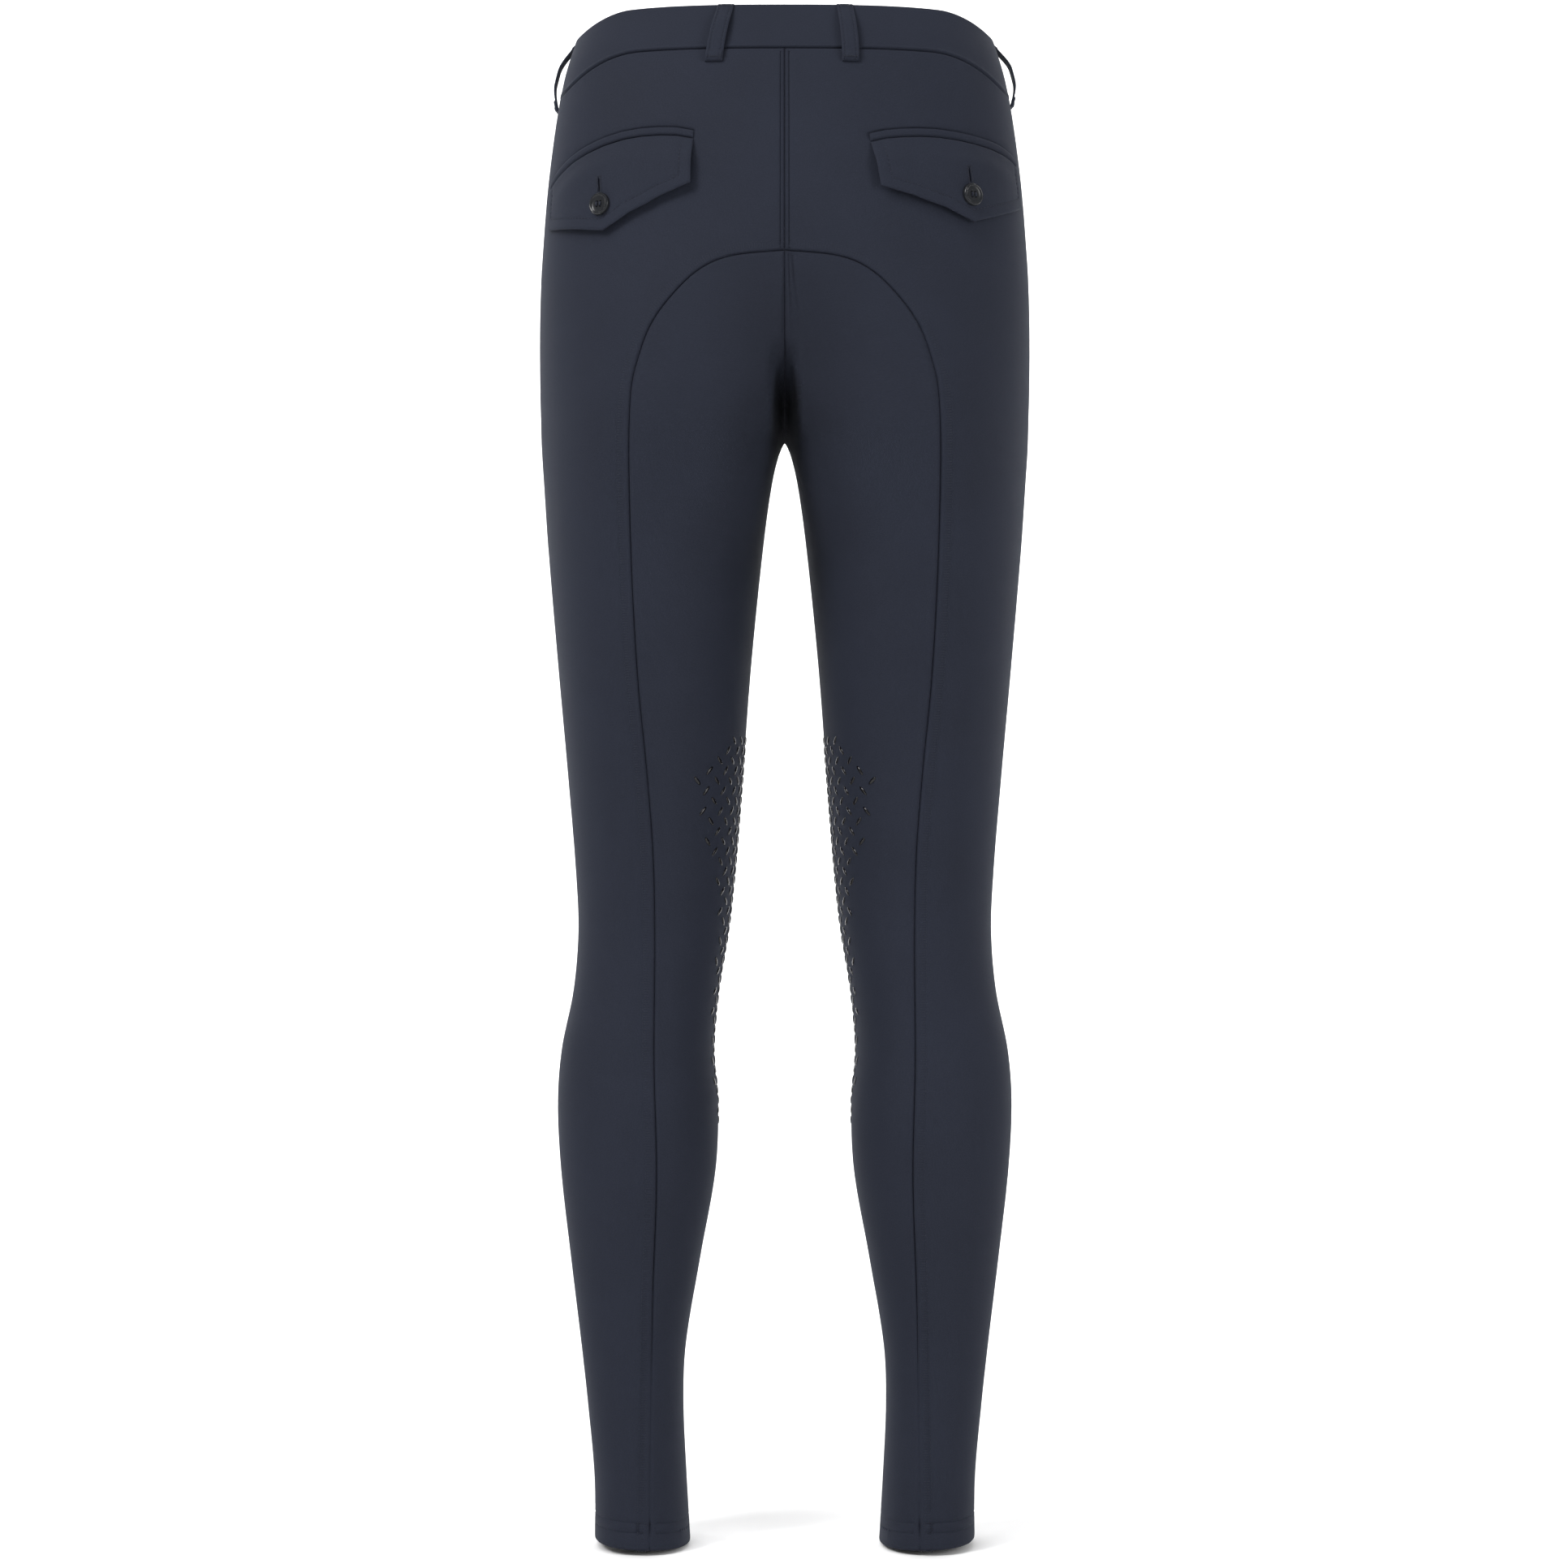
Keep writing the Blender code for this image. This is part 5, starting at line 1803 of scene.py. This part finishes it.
def cloth_finish():
    """Close stretch cloth: a fine rib and course, a soft nap that is lighter at a glance, slight
    unevenness of the dye, puckers beside the seams, and painted shade at the back of the crotch."""
    cloth = look().cloth
    made, tree, shader = new_finish(
        "breeches_cloth_finish",
        0.78,
        specular_ior_level=0.07,
        sheen_weight=cloth.sheen,
        sheen_roughness=0.45,
        sheen_tint=(0.72, 0.78, 1.0, 1),
    )
    weave = add(tree, "ShaderNodeUVMap", uv_map="pattern").outputs["UV"]
    place = add(tree, "ShaderNodeTexCoord").outputs["Object"]
    cloud = speckle(tree, place, 14.0, 3.0)
    fine = ramp(tree, speckle(tree, weave, 1100.0, 2.0), 0.3, 0.7)
    broad = ramp(tree, cloud, 0.3, 0.7)
    share = add(tree, "ShaderNodeMix", {0: 0.55, 2: broad, 3: fine}, data_type="FLOAT").outputs[0]
    colour = tuple(cloth.colour)
    base = blended(tree, share, tone(colour, 0.86), tone(colour, 1.14))
    # Painted shade: the base colour darkened at the back of the crotch
    base = blended(tree, painted_crotch_shade(tree, place), base, tone(colour, PAINTED_CORE_TONE))
    tree.links.new(base, shader.inputs["Base Color"])
    across = ribs(tree, weave, "X", cloth.weave)
    along = ribs(tree, weave, "Y", cloth.weave * 0.8)
    knit = joined_by(tree, "ADD", across, along)
    knit = add(tree, "ShaderNodeBump", {"Strength": 0.35, "Distance": 0.12 * MM, "Height": knit})
    near = add(tree, "ShaderNodeAttribute", attribute_name="near_seam").outputs["Fac"]
    pucker = joined_by(tree, "MULTIPLY", near, speckle(tree, weave, 150.0, 1.0))
    puckered = add(
        tree,
        "ShaderNodeBump",
        {
            "Strength": 0.5,
            "Distance": 0.6 * MM,
            "Height": pucker,
            "Normal": knit.outputs["Normal"],
        },
    )
    tree.links.new(puckered.outputs["Normal"], shader.inputs["Normal"])
    roughened(tree, shader, cloud, 0.7, 0.86)
    return made


def thread_finish():
    """Spun thread, a little lighter than the cloth, with its twist."""
    made, tree, shader = new_finish(
        "thread_finish", 0.7, sheen_weight=0.05, specular_ior_level=0.12
    )
    place = add(tree, "ShaderNodeTexCoord").outputs["Object"]
    fluff = speckle(tree, place, 900.0, 2.0)
    colour = tuple(look().stitching.colour)
    base = blended(tree, fluff, tone(colour, 0.7), tone(colour, 1.3))
    tree.links.new(base, shader.inputs["Base Color"])
    twist = ribs(tree, place, "DIAGONAL", 0.6 * MM)
    bump = add(tree, "ShaderNodeBump", {"Strength": 0.4, "Distance": 0.1 * MM, "Height": twist})
    tree.links.new(bump.outputs["Normal"], shader.inputs["Normal"])
    return made


def grip_finish():
    """Glossy printed rubber, a little uneven."""
    made, tree, shader = new_finish("grip_finish", 0.2, specular_ior_level=0.34)
    place = add(tree, "ShaderNodeTexCoord").outputs["Object"]
    cloud = speckle(tree, place, 260.0, 2.0)
    colour = tuple(look().grip.colour)
    base = blended(tree, cloud, tone(colour, 0.75), tone(colour, 1.25))
    tree.links.new(base, shader.inputs["Base Color"])
    roughened(tree, shader, cloud, 0.12, 0.26)
    return made


def horn_finish():
    """Dark polished horn with soft streaks."""
    made, tree, shader = new_finish("button_horn_finish", 0.2, specular_ior_level=0.22)
    place = add(tree, "ShaderNodeTexCoord").outputs["Object"]
    stretched = add(tree, "ShaderNodeMapping", {"Vector": place, "Scale": (220.0, 220.0, 60.0)})
    streak = speckle(tree, stretched.outputs["Vector"], 1.0, 4.0, 0.6)
    colour = tuple(look().buttons.colour)
    base = blended(tree, streak, tone(colour, 0.6), tone(colour, 1.5))
    tree.links.new(base, shader.inputs["Base Color"])
    roughened(tree, shader, streak, 0.14, 0.24)
    return made


# ---- Stage: camera, lights, floor ----


VIEW_WIDTH = 1.0626  # metres across the view, at the middle of the garment
VIEW_DISTANCE = 2.6
VIEW_CENTRE = (-0.0005, -0.501)  # across and height of its middle
SENSOR = 36.0


def make_camera():
    """A level camera behind the wearer."""
    data = bpy.data.cameras.new("camera")
    data.sensor_width = SENSOR
    data.lens = SENSOR / VIEW_WIDTH * VIEW_DISTANCE
    camera = new_object("camera", data)
    across, height = VIEW_CENTRE
    camera.location = (across, -VIEW_DISTANCE, height)
    camera.rotation_euler = (QUARTER, 0, 0)
    bpy.context.scene.camera = camera


StageLight = namedtuple("StageLight", "name place target size setting")
MIDDLE = (0, 0, -0.5)
STAGE_LIGHTS = [
    StageLight("key", (-2.4, -2.0, 1.9), MIDDLE, (1.1, 1.5), "key"),
    StageLight("fill", (2.45, -2.05, 0.3), MIDDLE, (1.2, 1.6), "fill"),
    StageLight("top", (-0.8, -1.3, 2.0), (0, 0, -0.1), (1.0, 1.0), "top"),
    StageLight("strip_left", (-2.15, -1.7, -0.45), MIDDLE, (0.35, 0.9), "strip"),
    StageLight("wall_left", (-2.4, 1.3, 0.6), (-0.6, 3.6, 0.2), (0.6, 2.0), "wall"),
    StageLight("strip_right", (2.15, -1.7, -0.45), MIDDLE, (0.35, 0.9), "strip"),
    StageLight("wall_right", (2.4, 1.3, 0.6), (0.6, 3.6, 0.2), (0.6, 2.0), "wall"),
    StageLight("floor_wash", (0, 1.9, 1.7), (0, 1.3, -1.0), (3.0, 1.4), "wash"),
]


def area_light(name, place, target, size, power):
    """A rectangular light that faces a target."""
    data = bpy.data.lights.new(name, "AREA")
    data.shape = "RECTANGLE"
    data.size, data.size_y = size
    data.energy = power
    light = new_object(name, data)
    light.location = place
    away = Vector(place) - Vector(target)
    light.rotation_euler = away.to_track_quat("Z", "Y").to_euler()


def make_lights():
    """A key light from the upper left, a weaker one from the right, one above, a strip at either
    side, two lights that wash the wall behind the garment and one above the floor there."""
    stage = look().stage
    for light in STAGE_LIGHTS:
        power = getattr(stage, light.setting)
        area_light(light.name, light.place, light.target, light.size, power)
    world = bpy.data.worlds.new("studio")
    world.use_nodes = True
    background = world.node_tree.nodes["Background"]
    background.inputs["Color"].default_value = (1, 1, 1, 1)
    background.inputs["Strength"].default_value = stage.ambient
    bpy.context.scene.world = world


FLOOR_DEPTH = 2.2  # from the garment to where the floor starts to rise behind it
FLOOR_BEND = 1.4
FLOOR_BEND_STEPS = 16
FLOOR_REACH = 9.0  # to either side, and in front
WALL_HEIGHT = 6.0
FLOOR_GAP = 3.2 * MM  # the garment hangs from the waist, just clear of the floor


def make_floor():
    """A floor that bends up into a wall behind the garment."""
    low = HEM - FLOOR_GAP
    profile = [(-FLOOR_REACH, low), (FLOOR_DEPTH, low)]
    for k in range(1, FLOOR_BEND_STEPS + 1):
        turn = QUARTER * k / FLOOR_BEND_STEPS
        rise = low + FLOOR_BEND * (1 - math.cos(turn))
        profile.append((FLOOR_DEPTH + FLOOR_BEND * math.sin(turn), rise))
    profile.append((FLOOR_DEPTH + FLOOR_BEND, low + WALL_HEIGHT))
    points = [(x, y, z) for y, z in profile for x in (-FLOOR_REACH, FLOOR_REACH)]
    faces = [(a, a + 1, a + 3, a + 2) for a in range(0, len(points) - 2, 2)]
    made, tree, shader = new_finish("floor_finish", 0.9, specular_ior_level=0.1)
    place = add(tree, "ShaderNodeTexCoord").outputs["Object"]
    colour = tuple(look().stage.floor_colour)
    cloud = speckle(tree, place, 2.0, 2.0)
    base = blended(tree, cloud, tone(colour, 0.995), tone(colour, 1.0))
    tree.links.new(base, shader.inputs["Base Color"])
    shaded("floor", points, faces, made, sharp=80)


# ---- The add-on: settings, one operator for each group of pieces, and a sidebar panel ----


def look():
    """The breeches' settings in the scene."""
    return bpy.context.scene.breeches


def colour_property(name, description, default):
    """A colour that a user can change."""
    return FloatVectorProperty(
        name=name,
        description=description,
        default=default,
        size=3,
        min=0,
        max=1,
        subtype="COLOR",
    )


def size_property(name, description, default):
    """A length that a user can change."""
    return FloatProperty(
        name=name,
        description=description,
        default=default,
        min=0,
        precision=5,
        unit="LENGTH",
        subtype="DISTANCE",
    )


def power_property(name, description, default):
    """A light's power, in watts."""
    return FloatProperty(name=name, description=description, default=default, unit="POWER")


class BreechesCloth(PropertyGroup):
    """The cloth of every panel"""

    colour: colour_property("Colour", "Dye of the cloth", (0.0162, 0.0188, 0.0286))
    sheen: FloatProperty(
        name="Sheen",
        description="How much lighter the nap looks at a glance",
        default=0.03,
        min=0,
        max=1,
        subtype="FACTOR",
    )
    weave: size_property("Weave", "From one rib of the weave to the next", 0.7 * MM)
    grid: size_property("Grid", "From one point of the cloth to the next", 4.5 * MM)


class BreechesStitching(PropertyGroup):
    """The thread and its stitches"""

    colour: colour_property("Colour", "Dye of the thread", (0.0150, 0.0175, 0.0275))
    length: size_property("Length", "Length of a stitch", 2.4 * MM)
    gap: size_property("Gap", "From the end of a stitch to the next", 0.6 * MM)
    thread: size_property("Thread", "Thickness of the thread", 0.55 * MM)


class BreechesGrip(PropertyGroup):
    """The raised grip on the inside of the knees"""

    colour: colour_property("Colour", "Colour of the grip's rubber", (0.003, 0.003, 0.004))
    bar_length: size_property("Bar length", "Length of a raised bar", 8.2 * MM)
    bar_width: size_property("Bar width", "Width of a raised bar", 2.6 * MM)
    bar_height: size_property("Bar height", "How far a bar stands off the cloth", 0.7 * MM)
    column: size_property("Column", "From one column of bars to the next", 8.0 * MM)
    pitch: size_property("Pitch", "From one bar to the next in its column", 13.4 * MM)
    slant: FloatProperty(
        name="Slant",
        description="Angle between a bar and the line up the leg",
        default=math.radians(44),
        subtype="ANGLE",
    )


class BreechesButtons(PropertyGroup):
    """The horn buttons"""

    colour: colour_property("Colour", "Colour of the horn", (0.011, 0.012, 0.014))
    sides: IntProperty(name="Sides", description="Corners round a button", default=40, min=12)


class BreechesStage(PropertyGroup):
    """The floor and lights"""

    floor_colour: colour_property("Floor", "Colour of the floor and wall", (0.90, 0.90, 0.90))
    key: power_property("Key", "Light from the upper left", 105)
    fill: power_property("Fill", "Light from the right", 47)
    top: power_property("Top", "Light from above", 24)
    strip: power_property("Strips", "Light from either side", 1.5)
    wall: power_property("Wall", "Light on the wall behind", 60)
    wash: power_property("Wash", "Light on the floor behind", 50)
    ambient: FloatProperty(name="Ambient", description="Light from all round", default=0.4)


class BreechesLook(PropertyGroup):
    """All settings of the breeches"""

    cloth: PointerProperty(type=BreechesCloth, name="Cloth", description="The cloth")
    stitching: PointerProperty(type=BreechesStitching, name="Stitching", description="The sewing")
    grip: PointerProperty(type=BreechesGrip, name="Grip", description="The knee grip")
    buttons: PointerProperty(type=BreechesButtons, name="Buttons", description="The buttons")
    stage: PointerProperty(type=BreechesStage, name="Stage", description="The floor and lights")


class BREECHES_OT_panels(Operator):
    """Cut and shape the fronts, the backs and the seats with the inner legs"""

    bl_idname = "breeches.panels"
    bl_label = "Panels"

    def execute(self, context):
        make_panel("front", front_panel)
        make_panel("back", back_panel)
        make_panel("seat_leg", seat_and_leg_panel)
        return {"FINISHED"}


class BREECHES_OT_waistband(Operator):
    """Shape the waistband, which laps at the front"""

    bl_idname = "breeches.waistband"
    bl_label = "Waistband"

    def execute(self, context):
        make_waistband()
        return {"FINISHED"}


class BREECHES_OT_belt_loops(Operator):
    """Shape the six belt loops"""

    bl_idname = "breeches.belt_loops"
    bl_label = "Belt loops"

    def execute(self, context):
        for name, loop in LOOPS.items():
            make_belt_loop(name, loop)
        return {"FINISHED"}


class BREECHES_OT_pockets(Operator):
    """Shape the pocket flaps and the welts above them"""

    bl_idname = "breeches.pockets"
    bl_label = "Pockets"

    def execute(self, context):
        for side, pocket in POCKETS.items():
            make_flap(side, pocket)
            make_welt(side, pocket)
        return {"FINISHED"}


class BREECHES_OT_buttons(Operator):
    """Turn the buttons and sew them on"""

    bl_idname = "breeches.buttons"
    bl_label = "Buttons"

    def execute(self, context):
        for side, pocket in POCKETS.items():
            make_pocket_button(side, pocket)
        make_waist_button()
        return {"FINISHED"}


class BREECHES_OT_sewing(Operator):
    """Sew the seams, hems, pockets, belt loops and fly"""

    bl_idname = "breeches.sewing"
    bl_label = "Sewing"

    def execute(self, context):
        sew_seat_seams()
        sew_centre_back()
        sew_fly()
        sew_hems()
        sew_pockets()
        sew_belt_loops()
        return {"FINISHED"}


class BREECHES_OT_knee_grip(Operator):
    """Print the raised grip on the inside of the knees"""

    bl_idname = "breeches.knee_grip"
    bl_label = "Knee grip"

    def execute(self, context):
        make_knee_grip()
        return {"FINISHED"}


class BREECHES_OT_stage(Operator):
    """Set up the floor, the lights and the camera"""

    bl_idname = "breeches.stage"
    bl_label = "Stage"

    def execute(self, context):
        make_floor()
        make_lights()
        make_camera()
        context.scene.view_settings.view_transform = "Standard"
        return {"FINISHED"}


PIECE_OPERATORS = (
    BREECHES_OT_panels,
    BREECHES_OT_waistband,
    BREECHES_OT_belt_loops,
    BREECHES_OT_pockets,
    BREECHES_OT_buttons,
    BREECHES_OT_sewing,
    BREECHES_OT_knee_grip,
    BREECHES_OT_stage,
)


class BREECHES_PT_sidebar(Panel):
    """Settings and steps of the breeches"""

    bl_idname = "BREECHES_PT_sidebar"
    bl_label = "Riding breeches"
    bl_space_type = "VIEW_3D"
    bl_region_type = "UI"
    bl_category = "Breeches"

    def draw(self, context):
        settings = context.scene.breeches
        for name in ("cloth", "stitching", "grip", "buttons", "stage"):
            group = getattr(settings, name)
            box = self.layout.box()
            box.label(text=name.title())
            for field in group.__annotations__:
                box.prop(group, field)
        for operator in PIECE_OPERATORS:
            self.layout.operator(operator.bl_idname)


CLASSES = (
    BreechesCloth,
    BreechesStitching,
    BreechesGrip,
    BreechesButtons,
    BreechesStage,
    BreechesLook,
    *PIECE_OPERATORS,
    BREECHES_PT_sidebar,
)


def register():
    """Makes the settings, operators and panel known."""
    for made in CLASSES:
        bpy.utils.register_class(made)
    bpy.types.Scene.breeches = PointerProperty(type=BreechesLook)


def unregister():
    """Takes them away again."""
    del bpy.types.Scene.breeches
    for made in reversed(CLASSES):
        bpy.utils.unregister_class(made)


def main():
    """Registers the add-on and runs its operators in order."""
    register()
    for operator in PIECE_OPERATORS:
        group, name = operator.bl_idname.split(".")
        getattr(getattr(bpy.ops, group), name)()


if __name__ == "__main__":
    main()
